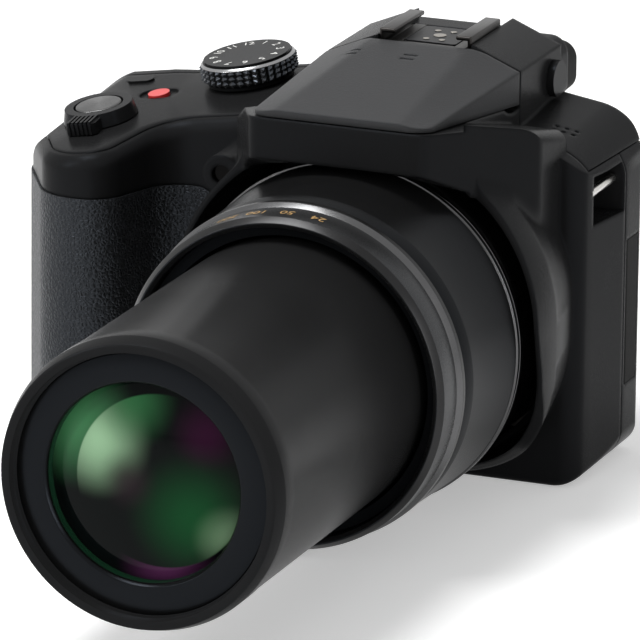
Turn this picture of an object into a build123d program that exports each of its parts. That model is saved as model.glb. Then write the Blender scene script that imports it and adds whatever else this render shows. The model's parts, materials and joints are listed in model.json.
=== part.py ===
"""Bridge camera: a grip body with a long zoom lens, modelled with the lens run out.

Millimetres. The origin is the mouth of the tripod socket. +X is to the right as the camera
is seen from the front, the lens looks along -Y and +Z is up.
"""

from build123d import *
from math import cos, radians, sin
import os

os.makedirs("parts", exist_ok=True)

# Driving dimensions of the casing
grip_side = 88.0  # lens axis to the outer side of the grip
right_side = 42.2  # lens axis to the other side
side_slope = 3.0  # that side draws in by this much to the front
slope_back = 4.0
back_face = 17.0
front_face = 17.0
grip_reach = 36.0  # tripod axis to the nose of the grip
lens_height = 38.5
wall = 2.0
seam = 0.3
overrun = 1.0
fit = 0.05  # clearance of a moving piece in its guide
play = 0.2  # clearance of a button or a lid in its opening

# Plan of the body
grip_turn = 15.0
nose_left = 75.5
nose_right = 62.0
neck_side = 55.5
back_round = 8.0
heel_round = 14.0
nose_round = 12.0
nose_inner_round = 8.0
neck_round = 9.0
front_round = 4.5
slope_round = 30.0
rear_round = 5.0
relief = 0.15  # crossing walls meet at a faint edge, not flush
form_reach = 120.0  # longer and taller than any part of the body

# Front view of the body, heights over the tripod axis
base_round_left = 5.0
base_round_right = 9.0
base_edge = 1.6
grip_top = 69.7
grip_top_round = 17.0
deck_break = 62.0
deck_low = 72.0
deck_round = 20.0
hump_foot = 20.0
deck_high = 78.7
shoulder_high = 76.7
shoulder_low = 73.2
shoulder_round = 13.0
deck_tilt = 4.5  # degrees, down towards the front
nose_side = 66.0  # a point of the sloping nose: to the side, in front of and over the tripod axis
nose_front = 34.0
nose_height = 67.2
nose_edge = 4.0
nose_side_share = 0.16  # rise towards the lens, per length
nose_back_share = 0.12  # rise towards the back, per length

# Hump, hood and shroud
hood_front = 58.3
hood_half = 19.6
hood_top_half = 14.0
hood_low = 77.5  # foot of the plate over the lens
lip_back = 46.5  # from the plate the lip of the hood falls back to here
lip_height = 71.8
hood_brow = 87.0
hood_top = 88.2
hump_start = 9.0  # the roof is level from here on
hump_seam = 8.2  # the roof of the flash ends here
hump_half = 22.0
hump_top_half = 11.0
hump_eave = 88.2
hump_top = 92.8
hump_low = 60.0
flare_half = 34.5
flare_turn = 28.5
flare_end = 12.0
flare_high = 79.4
flare_grip_high = 74.6  # on the side of the grip, under the deck
flare_tilt = 14.0  # degrees, down towards the back
flare_round = 3.0
joint_round = 6.0  # where the flares stand on the shroud
joint_inner = 27.0
joint_low = 55.0
joint_high = 72.0
joint_rise = 8.0
flare_base = 50.0
bore_half = 40.3
bore_throat = 36.8  # half of the opening where it leaves the body
bore_front = 44.0
bore_low = 39.0  # lens axis to the top and bottom of the opening
bore_flat = 4.8  # half of the straight run of each side
shroud_flat = 3.7
shroud_root_half = 36.4
shroud_half = 42.0
shroud_mouth_half = 40.2  # at the front of the hood, past the shroud's own end
shroud_root = 10.0
plate_round = 3.0
lid_round = 5.0
ridge_round = 6.0
facet_round = 5.0
shroud_soft = 4.0
shroud_ridge = 38.0  # widest here
shroud_top = 74.0
shroud_neck = 45.0
shroud_neck_height = 69.0
shroud_upper = 46.3
shroud_upper_height = 56.0
shroud_nose = 47.0
shroud_nose_height = 44.0
shroud_lower = 44.0
shroud_lower_height = 30.0
shroud_chin = 34.0
shroud_chin_height = 14.0
shroud_foot = 21.0
shroud_foot_height = 3.0

# Lens, distances along -Y from the tripod axis
barrel_front = 88.0
barrel_back = 5.5
barrel_bore = 33.6
tube_front = 163.3
tube_radius = 30.2
tube_bore = 28.4
tube_length = 82.0
zoom_travel = 72.0

LENS = Plane(origin=(0, 0, lens_height), x_dir=(0, 1, 0), z_dir=(1, 0, 0))
LENS_AXIS = Axis((0, 0, lens_height), (0, 1, 0))


def outline(plane, points, radii, inset=0):
    """Closed outline with rounded corners, drawn in by an inset."""
    with BuildSketch(plane) as drawn:
        with BuildLine():
            FilletPolyline(*points, radius=radii, close=True)
        make_face()
        if inset:
            offset(amount=-inset, kind=Kind.INTERSECTION)
    return drawn.sketch


def half_section(points):
    """Closed section of a turned piece: places along the lens axis and radii."""
    with BuildSketch(LENS) as drawn:
        with BuildLine():
            Polyline(*points, close=True)
        make_face()
    return drawn.sketch


def block(low, high, mode=Mode.ADD, edge=0):
    """Block between two corners, its upright edges rounded by edge."""
    size = [b - a for a, b in zip(low, high)]
    with BuildSketch(Plane((0, 0, low[2]))) as base:
        with Locations(((low[0] + high[0]) / 2, (low[1] + high[1]) / 2)):
            if edge:
                RectangleRounded(size[0], size[1], edge)
            else:
                Rectangle(size[0], size[1])
    extrude(base.sketch, amount=size[2], mode=mode)


def slab(plane, width, height, depth, corner, mode=Mode.ADD):
    """Plate with rounded corners that stands out of a plane, or a pocket cut below it."""
    with BuildSketch(plane) as base:
        RectangleRounded(width, height, corner)
    extrude(base.sketch, amount=depth, mode=mode)


def peg(plane, radius, height, mode=Mode.ADD, hole=0):
    """Round peg, or a ring when it has a hole, that stands out of a plane."""
    with BuildSketch(plane) as base:
        Circle(radius)
        if hole:
            Circle(hole, mode=Mode.SUBTRACT)
    extrude(base.sketch, amount=height, mode=mode)


def mirrored(points):
    """Points of the right half, from bottom to top, closed by their mirror images."""
    return [(-x, z) for x, z in points] + [(x, z) for x, z in reversed(points)]


# Casing forms. Each is drawn at its outer skin, or drawn in by an inset for its hollow.

TILTED = Plane(origin=(0, 0, 0), x_dir=(1, 0, 0), z_dir=(0, -cos(radians(deck_tilt)), -sin(radians(deck_tilt))))
FLARED = Plane(
    origin=(0, -flare_turn, 0), x_dir=(1, 0, 0), z_dir=(0, -cos(radians(flare_tilt)), sin(radians(flare_tilt)))
)
NOSE = Plane(origin=(-nose_side, -nose_front, nose_height), x_dir=(1, 0, nose_side_share), z_dir=(-nose_side_share, -nose_back_share, 1))

PLAN = [
    (-grip_side, back_face),
    (-grip_side, -grip_turn),
    (-nose_left, -grip_reach),
    (-nose_right, -grip_reach),
    (-neck_side, -front_face),
    (right_side - side_slope, -front_face),
    (right_side, slope_back),
    (right_side, back_face),
]


PLAN_ROUNDS = [back_round, heel_round, nose_round, nose_inner_round, neck_round, front_round, slope_round, rear_round]


def plan(inset=0):
    """Plan of the body and the grip."""
    return outline(Plane.XY, PLAN, PLAN_ROUNDS, inset)


def on_base_rim(edge):
    """Edges of the bottom, which aren't upright."""
    low = all(corner.Z < base_round_right + overrun for corner in edge.vertices())
    return low and abs(edge.tangent_at(0).Z) < abs(edge.tangent_at(0).X) + abs(edge.tangent_at(0).Y)


def on_nose_rim(edge):
    """Front edges of the sloping nose."""
    middle = edge.position_at(0.5)
    off_plane = abs((middle - NOSE.origin).dot(NOSE.z_dir))
    return off_plane < overrun / form_reach and middle.Y < -barrel_back and edge.length > overrun / 2


def body_form(inset=0):
    """Body and grip: the plan cut by the front view and by the sloping deck."""
    left = -grip_side - relief
    right = right_side + relief
    sides = [(left, form_reach), (left, 0), (right, 0), (right, form_reach)]
    roof = [
        (left, -form_reach),
        (left, grip_top),
        (-deck_break, deck_low),
        (-hump_foot, deck_high),
        (hump_foot, shoulder_high),
        (right, shoulder_low),
        (right, -form_reach),
    ]
    with BuildPart() as form:
        extrude(plan(inset), amount=form_reach)
        extrude(
            outline(Plane.XZ.offset(-form_reach), sides, [0, base_round_left, base_round_right, 0], inset),
            amount=2 * form_reach,
            mode=Mode.INTERSECT,
        )
        extrude(
            outline(TILTED.offset(-form_reach), roof, [0, grip_top_round, deck_round, 0, 0, shoulder_round, 0], inset),
            amount=2 * form_reach,
            mode=Mode.INTERSECT,
        )
        slab(NOSE.offset(-inset), 2 * form_reach, 2 * form_reach, form_reach, relief, mode=Mode.SUBTRACT)
        if not inset:
            fillet(form.edges().filter_by(on_base_rim), base_edge)
            fillet(form.edges().filter_by(on_nose_rim), nose_edge)
    return form.part


def hump_section(at, eave, top, half, top_half, inset):
    """Cross-section of the hump at a distance in front of the tripod axis."""
    points = mirrored([(half, hump_low), (half, eave), (top_half, top)])
    return outline(Plane.XZ.offset(at), points, 0, inset)


def on_plate_corner(edge):
    """Upright edges at the two ends of the plate."""
    at_front = all(abs(corner.Y + hood_front) < overrun / form_reach for corner in edge.vertices())
    return at_front and abs(edge.tangent_at(0).Z) > 1 / 2 and edge.length > lid_round


def on_lid_ridge(edge):
    """Ridges along both sides of the lid's top."""
    high = all(corner.Z > hood_top - overrun / form_reach for corner in edge.vertices())
    return high and abs(edge.tangent_at(0).Y) > 1 / 2 and edge.length > lid_round


def flash_form(inset=0):
    """Front of the hump, the roof of the flash, which narrows and falls to the front."""
    front = hump_section(hood_front - inset, hood_brow, hood_top, hood_half, hood_top_half, inset)
    middle = hump_section(hump_start, hump_eave, hump_top, hump_half, hump_top_half, inset)
    with BuildPart() as form:
        loft([front, middle], ruled=True)
        extrude(middle, amount=-hump_start + hump_seam)
        if not inset:
            fillet(form.edges().filter_by(on_plate_corner), lid_round)
            fillet(form.edges().filter_by(on_lid_ridge), ridge_round)
    return form.part


def block_form(inset=0):
    """Back of the hump, which carries the shoe and the viewfinder."""
    middle = hump_section(hump_seam - inset, hump_eave, hump_top, hump_half, hump_top_half, inset)
    with BuildPart() as form:
        extrude(middle, amount=-hump_seam - back_face + 2 * inset)
    return form.part


def on_hood_joint(edge):
    """Edges where the flares of the hood stand on the shroud."""
    middle = edge.position_at(0.5)
    ends = edge.vertices()
    beside = joint_inner < abs(middle.X) < flare_half + overrun and joint_low < middle.Z < joint_high
    in_front = all(-shroud_neck - overrun / 4 < end.Y < -flare_end + overrun / 4 for end in ends)
    lengthwise = abs(ends[0].Y - ends[-1].Y) > overrun and abs(ends[0].Z - ends[-1].Z) < joint_rise
    return beside and in_front and lengthwise


def rounded(at, half, low, flat):
    """Rounded square about the lens axis, at a distance in front of the tripod axis."""
    with BuildSketch(Plane.XZ.offset(at)) as drawn:
        with Locations((0, lens_height)):
            RectangleRounded(2 * half, 2 * low, half - flat)
    return drawn.sketch


def hood_form():
    """Hood and shroud round the lens, solid up to the opening that is cut through them."""
    walls = [
        (-flare_half, flare_base),
        (-flare_half, flare_grip_high),
        (-hood_half, flare_high),
        (flare_half, flare_high),
        (flare_half, flare_base),
    ]
    facets = [
        (-flare_half, -flare_end),
        (-flare_half, -flare_turn),
        (-hood_half, -hood_front),
        (hood_half, -hood_front),
        (flare_half, -flare_turn),
        (flare_half, -flare_end),
    ]
    side = [
        (-shroud_root, 0),
        (-shroud_root, shroud_top),
        (-shroud_neck, shroud_top),
        (-shroud_neck, shroud_neck_height),
        (-shroud_upper, shroud_upper_height),
        (-shroud_nose, shroud_nose_height),
        (-shroud_lower, shroud_lower_height),
        (-shroud_chin, shroud_chin_height),
        (-shroud_foot, shroud_foot_height),
        (-front_face, 0),
    ]
    with BuildPart() as form:
        extrude(outline(FLARED.offset(-flare_turn), walls, [0, flare_round, flare_round, flare_round, 0]), amount=2 * hood_front)
        extrude(
            outline(Plane.XY, facets, [0, facet_round, plate_round, plate_round, facet_round, 0]),
            amount=form_reach,
            mode=Mode.INTERSECT,
        )
    with BuildPart() as ring:
        rings = ((shroud_root, shroud_root_half), (shroud_ridge, shroud_half), (hood_front, shroud_mouth_half))
        loft([rounded(at, half, half, shroud_flat) for at, half in rings], ruled=True)
        radii = [0, 0, 0, shroud_soft, 2 * shroud_soft, 3 * shroud_soft, 3 * shroud_soft, 3 * shroud_soft, shroud_soft, 0]
        extrude(
            outline(Plane.YZ.offset(-form_reach), side, radii), amount=2 * form_reach, mode=Mode.INTERSECT
        )
    whole = form.part + ring.part
    return whole.fillet(joint_round, whole.edges().filter_by(on_hood_joint))


# Regions of the casing, split along its seams

seam_plane = 3.5
rim = 2.2  # edge of the lower casing that stands round the deck
hump_cut = 24.5
hump_cut_low = 74.0
shoulder_cut = 22.0
shoulder_seam = 13.0
shoulder_cut_low = 69.3
deck_cut = 35.4
deck_cut_low = 60.0
throat = 36.2
flash_part_front = 86.4
flash_part_back = 80.8
flash_wall = 1.5
well_floor = 79.5
window_half = 15.0
window_front = 55.2
reflector_back = 46.0
cheek = 1.2  # brackets beside the reflector
hinge_y = 11.0
hinge_z = 89.8
hinge_swing = 9.8
hinge_round = 2.9


def top_region(gap=0):
    """Space of the top cover, drawn in by the gap of its seam."""
    with BuildPart() as region:
        extrude(plan(rim + gap), amount=form_reach)
        block((-form_reach, -form_reach, 0), (form_reach, form_reach, deck_cut_low + gap), mode=Mode.SUBTRACT)
        block((-deck_cut - gap, -form_reach, 0), (form_reach, gap - hump_seam, form_reach), mode=Mode.SUBTRACT)
        block((-hump_foot, -form_reach, 0), (form_reach, form_reach, form_reach), mode=Mode.SUBTRACT)
        block((gap - hump_cut, gap - hump_seam, hump_cut_low + gap), (hump_cut - gap, form_reach, form_reach))
        block((shoulder_cut, gap - shoulder_seam, shoulder_cut_low + gap), (form_reach, form_reach, form_reach))
    return region.part


def flash_region(gap=0):
    """Space of the flash's roof, over a seam that falls to the back."""
    points = [
        (-form_reach, flash_part_front + gap),
        (-hood_front, flash_part_front + gap),
        (-hump_seam - gap, flash_part_back + gap),
        (-hump_seam - gap, form_reach),
        (-form_reach, form_reach),
    ]
    with BuildPart() as region:
        extrude(outline(Plane.YZ.offset(-hump_cut), points, 0), amount=2 * hump_cut)
    return region.part


def hinge_plane(x):
    """Plane across the hinge of the flash."""
    return Plane(origin=(x, -hinge_y, hinge_z), x_dir=(0, 1, 0), z_dir=(1, 0, 0))


lip = [
    (-hood_front - overrun, lens_height),
    (-hood_front - overrun, hood_low),
    (-hood_front, hood_low),
    (-lip_back, lip_height),
    (-lip_back, lens_height),
]
with BuildPart() as opening:
    extrude(outline(Plane.YZ.offset(-flare_half), lip, 0), amount=2 * flare_half)
    narrowing = bore_half - bore_throat
    throat_end = rounded(front_face, bore_throat, bore_low - narrowing, bore_flat)
    mouth = rounded(bore_front, bore_half, bore_low, bore_flat)
    loft([throat_end, mouth], ruled=True)
    extrude(mouth, amount=hood_front - bore_front + overrun)
    with BuildSketch(Plane.XZ) as neck:
        with Locations((0, lens_height)):
            Circle(throat)
    extrude(neck.sketch, amount=front_face + overrun)

outer_body = body_form()
hollow_body = body_form(wall)

# Bottom

base_left = 48.0
base_right = 32.0
base_half = 14.5
base_corner = 3.0
door_left = 80.5
door_hinge_x = 51.5
door_front = 23.0
door_step_x = 61.0
door_step_y = 14.5
door_back = 11.5
door_pin = 0.5
door_pin_reach = 1.3
screw_radius = 0.8
screw_head = 1.6
screw_head_depth = 1.1
screw_sink = 0.3
screw_reach = 6.0
post_side = 3.5
post_places = [(-base_left + post_side, -base_half + post_side), (base_right - post_side, -base_half + post_side)]
post_places += [(x, -y) for x, y in post_places]
leg_x = 27.0
leg_half = 3.0
leg_y = 0.75
socket_outer = 5.0
socket_length = 7.0
tripod_bore = 3.175
tripod_depth = 5.5

DOOR_OUTLINE = [
    (-door_left, -door_front),
    (-door_step_x, -door_front),
    (-door_step_x, -door_step_y),
    (-door_hinge_x, -door_step_y),
    (-door_hinge_x, door_back),
    (-door_left, door_back),
]
door_edge = wall / 2  # round edge at the hinge


def door_form(grow=0):
    """Lid of the battery bay, with its round edge at the hinge."""
    with BuildPart() as form:
        extrude(outline(Plane.XY, DOOR_OUTLINE, 0, -grow), amount=wall)
        with BuildSketch(Plane.XZ.offset(-door_back - grow)) as knuckle:
            with Locations((-door_hinge_x, door_edge)):
                Circle(door_edge + grow)
        extrude(knuckle.sketch, amount=door_back + door_step_y + 2 * grow)
    return form.part


with BuildPart() as floor_openings:
    block((-base_left - play, -base_half - play, -overrun), (base_right + play, base_half + play, wall), edge=base_corner)
    add(door_form(play))
    block(
        (-door_hinge_x, -door_step_y - play, -overrun), (-door_hinge_x + door_edge + 2 * play, door_back + play, door_edge)
    )
    with BuildSketch(Plane.XZ.offset(-door_back - door_pin_reach - play)) as pins:
        with Locations((-door_hinge_x, door_edge)):
            Circle(door_pin + fit)
    extrude(pins.sketch, amount=door_back + door_step_y + 2 * door_pin_reach + 2 * play)

latch_back = 1.0
latch_front = 9.0
latch_left = 79.0
latch_right = 75.5
latch_tongue = 81.5
latch_tongue_low = 0.5
latch_top = 1.0
latch_room = 1.6
tongue_share = 0.25  # each side of the tongue steps in by this share of the latch

latch_length = latch_front - latch_back
tongue_front = -latch_front + tongue_share * latch_length
tongue_back = -latch_back - tongue_share * latch_length

with BuildPart() as base_plate:
    block((-base_left, -base_half, 0), (base_right, base_half, wall), edge=base_corner)
    with BuildSketch() as bore:
        Circle(socket_outer)
    extrude(bore.sketch, amount=wall, mode=Mode.SUBTRACT)
    with BuildSketch() as heads:
        with Locations(*post_places, (-leg_x, leg_y), (leg_x, leg_y)):
            Circle(screw_head + fit)
    extrude(heads.sketch, amount=screw_sink + screw_head_depth, mode=Mode.SUBTRACT)
    with BuildSketch() as shanks:
        with Locations(*post_places, (-leg_x, leg_y), (leg_x, leg_y)):
            Circle(screw_radius)
    extrude(shanks.sketch, amount=wall, mode=Mode.SUBTRACT)

with BuildPart() as case_screws:
    with BuildSketch(Plane.XY.offset(screw_sink)) as heads:
        with Locations(*post_places, (-leg_x, leg_y), (leg_x, leg_y)):
            Circle(screw_head)
    extrude(heads.sketch, amount=screw_head_depth)
    with BuildSketch(Plane.XY.offset(screw_sink + screw_head_depth)) as shanks:
        with Locations(*post_places, (-leg_x, leg_y), (leg_x, leg_y)):
            Circle(screw_radius)
    extrude(shanks.sketch, amount=screw_reach - screw_sink - screw_head_depth)
    with BuildSketch(Plane.XY.offset(screw_sink)) as slots:
        with Locations(*post_places, (-leg_x, leg_y), (leg_x, leg_y)):
            Rectangle(screw_head, screw_sink)
            Rectangle(screw_sink, screw_head)
    extrude(slots.sketch, amount=screw_head_depth / 2, mode=Mode.SUBTRACT)

with BuildPart() as tripod_socket:
    with BuildSketch() as insert:
        Circle(socket_outer)
    extrude(insert.sketch, amount=socket_length)
    with BuildSketch() as bore:
        Circle(tripod_bore)
    extrude(bore.sketch, amount=tripod_depth, mode=Mode.SUBTRACT)

with BuildPart() as battery_door:
    add(door_form())
    with BuildSketch(Plane.XZ.offset(-door_back - door_pin_reach)) as pins:
        with Locations((-door_hinge_x, door_edge)):
            Circle(door_pin)
    extrude(pins.sketch, amount=door_back + door_step_y + 2 * door_pin_reach)
    block(
        (-latch_tongue, -latch_front - fit, 0), (-latch_right + latch_room, -latch_back + fit, latch_top), Mode.SUBTRACT
    )

with BuildPart() as door_latch:
    block((-latch_left, -latch_front, latch_top / 10), (-latch_right, -latch_back, latch_top))
    block((-latch_tongue, tongue_front, latch_tongue_low), (-latch_right, tongue_back, latch_top))

# Lower casing, front half

lug_front = 11.0
lug_back = 3.0
lug_low = 57.0
lug_high = 67.8
lug_x = 39.2
lug_z = 64.2
lug_radius = 1.0
lug_room = 4.2  # for the strap, behind the bar
lug_wall = 1.5
lug_reach = 0.6  # the bar's ends sit this deep in the walls
side_lug_y = 8.6
side_lug_z = 52.0
side_lug_half = 4.2
side_lug_tall = 5.4
side_lug_x = 86.7
lamp_x = 36.5
lamp_z = 65.0
lamp_boss = 4.4
lamp_boss_front = 32.0
lamp_radius = 2.2
lamp_front = 31.0
lamp_back = 29.0
lamp_depth = 3.6
skin_depth = 0.8
skin_proud = 0.4
skin_low = 5.5
skin_side_high = 56.5
skin_high = 57.5
skin_end = 42.6
skin_back = 3.2
skin_turn = 6.0
skin_back_turn = 4.0
pillar_inner = 8.0
pillar_outer = 11.0
pin_radius = 0.6
lug_ear = 1.1

lug_floor = lug_x - lug_radius - lug_room
skin_face = [
    (-form_reach, skin_low),
    (-form_reach, skin_side_high),
    (-skin_end, skin_high),
    (-skin_end, skin_low),
]


def skin_form():
    """Skin round the grip, let into the casing and a little proud of it."""
    with BuildPart() as form:
        extrude(plan(-skin_proud), amount=form_reach)
        extrude(plan(skin_depth), amount=form_reach, mode=Mode.SUBTRACT)
        extrude(
            outline(Plane.XZ.offset(-skin_back), skin_face, [0, 0, skin_turn, 0]), amount=form_reach, mode=Mode.INTERSECT
        )
    return form.part


def on_y(y, x, z):
    """Plane across a line that runs to the front."""
    return Plane(origin=(x, y, z), x_dir=(1, 0, 0), z_dir=(0, -1, 0))


with BuildPart() as outer_front:
    add(outer_body)
    add(hood_form())
    add(flash_form())
    peg(on_y(-front_face, -lamp_x, lamp_z), lamp_boss, lamp_boss_front - front_face)

with BuildPart() as flash_well:
    add(flash_form(wall))
    block((-form_reach, -form_reach, 0), (form_reach, form_reach, well_floor), mode=Mode.SUBTRACT)

with BuildPart() as front_shell:
    add(outer_front.part)
    add(hollow_body, mode=Mode.SUBTRACT)
    block((lug_floor - lug_wall, -lug_front - lug_wall, lug_low - lug_wall), (right_side, seam_plane, shoulder_cut_low))
    for x, y in post_places[:2]:
        block((x - post_side, -front_face + wall / 2, wall), (x + post_side, y + post_side, screw_reach))
    add(outer_front.part, mode=Mode.INTERSECT)
    add(opening.part, mode=Mode.SUBTRACT)
    block((-form_reach, seam_plane, -overrun), (form_reach, form_reach, form_reach), mode=Mode.SUBTRACT)
    add(top_region(), mode=Mode.SUBTRACT)
    add(flash_region(), mode=Mode.SUBTRACT)
    add(flash_well.part, mode=Mode.SUBTRACT)
    block(
        (-window_half - cheek - seam, -window_front - overrun, well_floor),
        (window_half + cheek + seam, -reflector_back, hood_top),
        Mode.SUBTRACT,
    )
    peg(hinge_plane(-hump_cut), hinge_swing, 2 * hump_cut, mode=Mode.SUBTRACT)
    for x in (-pillar_outer, pillar_inner):
        block((x, -hinge_y - lug_ear, well_floor - overrun), (x + pillar_outer - pillar_inner, -hinge_y + lug_ear, hinge_z))
        peg(hinge_plane(x), lug_ear, pillar_outer - pillar_inner)
        peg(hinge_plane(x), pin_radius, pillar_outer - pillar_inner, mode=Mode.SUBTRACT)
    # Strap lug, lamp, floor and grip
    block((lug_floor, -lug_front, lug_low), (form_reach, lug_back, lug_high), mode=Mode.SUBTRACT)
    peg(on_y(lug_back + lug_reach, lug_x, lug_z), lug_radius, lug_front + lug_back + 2 * lug_reach, mode=Mode.SUBTRACT)
    peg(on_y(-lamp_boss_front + lamp_depth, -lamp_x, lamp_z), lamp_radius, lamp_depth, mode=Mode.SUBTRACT)
    add(floor_openings.part, mode=Mode.SUBTRACT)
    with BuildSketch() as shanks:
        with Locations(*post_places[:2]):
            Circle(screw_radius)
    extrude(shanks.sketch, amount=screw_reach, mode=Mode.SUBTRACT)
    block(
        (-latch_tongue - play, tongue_front - play, -overrun), (-door_left, tongue_back + play, latch_top + play), Mode.SUBTRACT
    )
    add(skin_form(), mode=Mode.SUBTRACT)

with BuildPart() as grip_rubber:
    add(skin_form())

with BuildPart() as af_lamp:
    peg(on_y(-lamp_back, -lamp_x, lamp_z), lamp_radius, lamp_front - lamp_back)


# Top cover and the roof of the flash

eyepiece_half = 22.0
eyepiece_low = 74.6
eyepiece_high = 89.0
eyepiece_back = 21.5
eyepiece_corner = 4.0
eyepiece_mid = 80.6
sight_width = 20.0
sight_height = 12.0
shoe_width = 21.0
shoe_front = 7.3
shoe_back = 10.5
shoe_seat = 90.2
shoe_sheet = 0.8
shoe_boss = 12.5
dial_x = 46.0
dial_y = 8.0
dial_stem = 3.0
button_x = 72.7
button_y = 12.4
button_stem = 2.0
lever_seat = 5.45  # round boss that the zoom lever turns on
lever_boss_height = 0.5
movie_x = 65.0
movie_y = 1.5
movie_radius = 2.4
movie_pit_length = 9.0
movie_pit_width = 5.6
movie_pit_depth = 0.5
burst_x = 73.0
burst_y = 10.5
burst_length = 6.0
burst_width = 3.0
speaker_x = 30.5
speaker_y = 3.0
speaker_hole = 0.5
speaker_pitch = 2.2
diopter_stem = 1.2
diopter_y = 12.0
diopter_z = 82.0
mic_x = 12.0
mic_y = 19.2
mic_gap = 12.9
mic_pitch = 2.4
mic_length = 3.0
mic_width = 0.7
mic_depth = 0.6


def deck_height(x, y):
    """Height of the sloping nose at a place."""
    return nose_height + nose_side_share * (x + nose_side) + nose_back_share * (y + nose_front)


def nose_plane(x, y, rise=0):
    """Plane on the sloping nose at a place, raised along its own axis."""
    spot = Plane(origin=(x, y, deck_height(x, y)), x_dir=(1, 0, nose_side_share), z_dir=NOSE.z_dir)
    return spot.offset(rise)


roof_rise_share = (deck_high - deck_low) / (deck_break - hump_foot)
roof_back_share = sin(radians(deck_tilt)) / cos(radians(deck_tilt))


def roof_height(x, y):
    """Height of the deck beside the hump."""
    return (deck_low + roof_rise_share * (x + deck_break)) / cos(radians(deck_tilt)) + roof_back_share * y


def roof_plane(x, y, rise=0):
    """Plane on the deck beside the hump, raised along its own axis."""
    spot = Plane(
        origin=(x, y, roof_height(x, y)), x_dir=(1, 0, roof_rise_share), z_dir=(-roof_rise_share, -roof_back_share, 1)
    )
    return spot.offset(rise)


with BuildPart() as outer_top:
    add(outer_body)
    add(block_form())
    with BuildSketch(Plane.XZ.offset(-eyepiece_back)) as face:
        with Locations((0, (eyepiece_low + eyepiece_high) / 2)):
            RectangleRounded(2 * eyepiece_half, eyepiece_high - eyepiece_low, eyepiece_corner)
    extrude(face.sketch, amount=eyepiece_back)

with BuildPart() as top_cover:
    add(outer_top.part)
    add(hollow_body, mode=Mode.SUBTRACT)
    add(block_form(wall), mode=Mode.SUBTRACT)
    block((-shoe_boss, -hump_seam, shoe_seat - wall), (shoe_boss, back_face, shoe_seat + wall))
    add(outer_top.part, mode=Mode.INTERSECT)
    add(top_region(seam), mode=Mode.INTERSECT)
    # Channel of the shoe, open to the back
    block((-shoe_width / 2 - play, -front_face, shoe_seat), (shoe_width / 2 + play, shoe_back + play, form_reach), Mode.SUBTRACT)
    block(
        (-shoe_width / 2 - play, 0, shoe_seat + shoe_sheet), (shoe_width / 2 + play, form_reach, form_reach), Mode.SUBTRACT
    )
    # Window of the viewfinder
    with BuildSketch(Plane.XZ.offset(-eyepiece_back - overrun)) as face:
        with Locations((0, eyepiece_mid)):
            RectangleRounded(sight_width + 2 * fit, sight_height + 2 * fit, wall)
    extrude(face.sketch, amount=eyepiece_back - back_face + wall + 2 * overrun, mode=Mode.SUBTRACT)
    peg(Plane(origin=(0, diopter_y, diopter_z), x_dir=(0, 1, 0), z_dir=(1, 0, 0)), diopter_stem + fit, form_reach, Mode.SUBTRACT)
    # Seats of the controls
    peg(nose_plane(-button_x, -button_y, -wall), lever_seat, wall + lever_boss_height)
    peg(nose_plane(-button_x, -button_y, -2 * wall), button_stem + fit, 4 * wall, mode=Mode.SUBTRACT)
    peg(roof_plane(-dial_x, dial_y, -2 * wall), dial_stem + fit, 4 * wall, mode=Mode.SUBTRACT)
    slab(
        nose_plane(-movie_x, movie_y, -movie_pit_depth), movie_pit_length, movie_pit_width, wall, movie_pit_width / 2 - fit,
        Mode.SUBTRACT,
    )
    peg(nose_plane(-movie_x, movie_y, -2 * wall), movie_radius + fit, 4 * wall, mode=Mode.SUBTRACT)
    slab(
        nose_plane(-burst_x, burst_y, -2 * wall), burst_length + 2 * fit, burst_width + 2 * fit, 4 * wall, burst_width / 2,
        Mode.SUBTRACT,
    )
    with BuildSketch(Plane.XY.offset(shoulder_cut_low)) as holes:
        with Locations((speaker_x, -speaker_y)):
            with GridLocations(speaker_pitch, speaker_pitch, 3, 2):
                Circle(speaker_hole)
    extrude(holes.sketch, amount=form_reach, mode=Mode.SUBTRACT)

ear_inner = 11.3
ear_outer = 14.0
ear_radius = 1.2
ear_low = 88.6
window_thick = 1.0
reflector_low = 80.6
reflector_high = 85.6
reflector_wall = 1.0
cheek_low = 82.0
tube_y = 49.5
tube_z = 83.1
flash_tube_radius = 0.9
reflector_front = window_front - window_thick

with BuildPart() as flash_space:
    add(flash_region(seam))
    block((-window_half - cheek, -window_front, cheek_low), (window_half + cheek, -reflector_back, hood_brow))

with BuildPart() as flash_cover:
    add(flash_form())
    add(flash_form(flash_wall), mode=Mode.SUBTRACT)
    for x in (-window_half - cheek, window_half):
        block((x, -window_front, cheek_low), (x + cheek, -reflector_back, hood_top))
    for x in (-ear_outer, ear_inner):
        block((x, -hinge_y - ear_radius, ear_low), (x + ear_outer - ear_inner, -hinge_y + ear_radius, hinge_z + ear_radius))
    add(flash_form(), mode=Mode.INTERSECT)
    add(flash_space.part, mode=Mode.INTERSECT)
    with BuildSketch(Plane.YZ.offset(-hump_cut)) as corner:
        with Locations((-hinge_y + hinge_swing / 2, hinge_z + hinge_swing / 2)):
            Rectangle(hinge_swing, hinge_swing)
        with Locations((-hinge_y, hinge_z)):
            Circle(hinge_round, mode=Mode.SUBTRACT)
    extrude(corner.sketch, amount=2 * hump_cut, mode=Mode.SUBTRACT)
    peg(hinge_plane(-ear_outer - overrun), pin_radius + fit, 2 * ear_outer + 2 * overrun, mode=Mode.SUBTRACT)
    fall = (hump_top - hood_top) / (hood_front - hump_start)
    slope = Plane(origin=(0, -mic_y, hump_top - fall * (mic_y - hump_start)), x_dir=(1, 0, 0), z_dir=(0, -fall, 1))
    with BuildSketch(slope.offset(-mic_depth)) as slots:
        for x in (-mic_x, mic_gap - mic_x):
            with Locations((x, mic_pitch / 2), (x, -mic_pitch / 2)):
                Rectangle(mic_length, mic_width)
    extrude(slots.sketch, amount=wall, mode=Mode.SUBTRACT)

with BuildPart() as flash_window:
    block((-window_half, -window_front, reflector_low), (window_half, -reflector_front, reflector_high))

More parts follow.
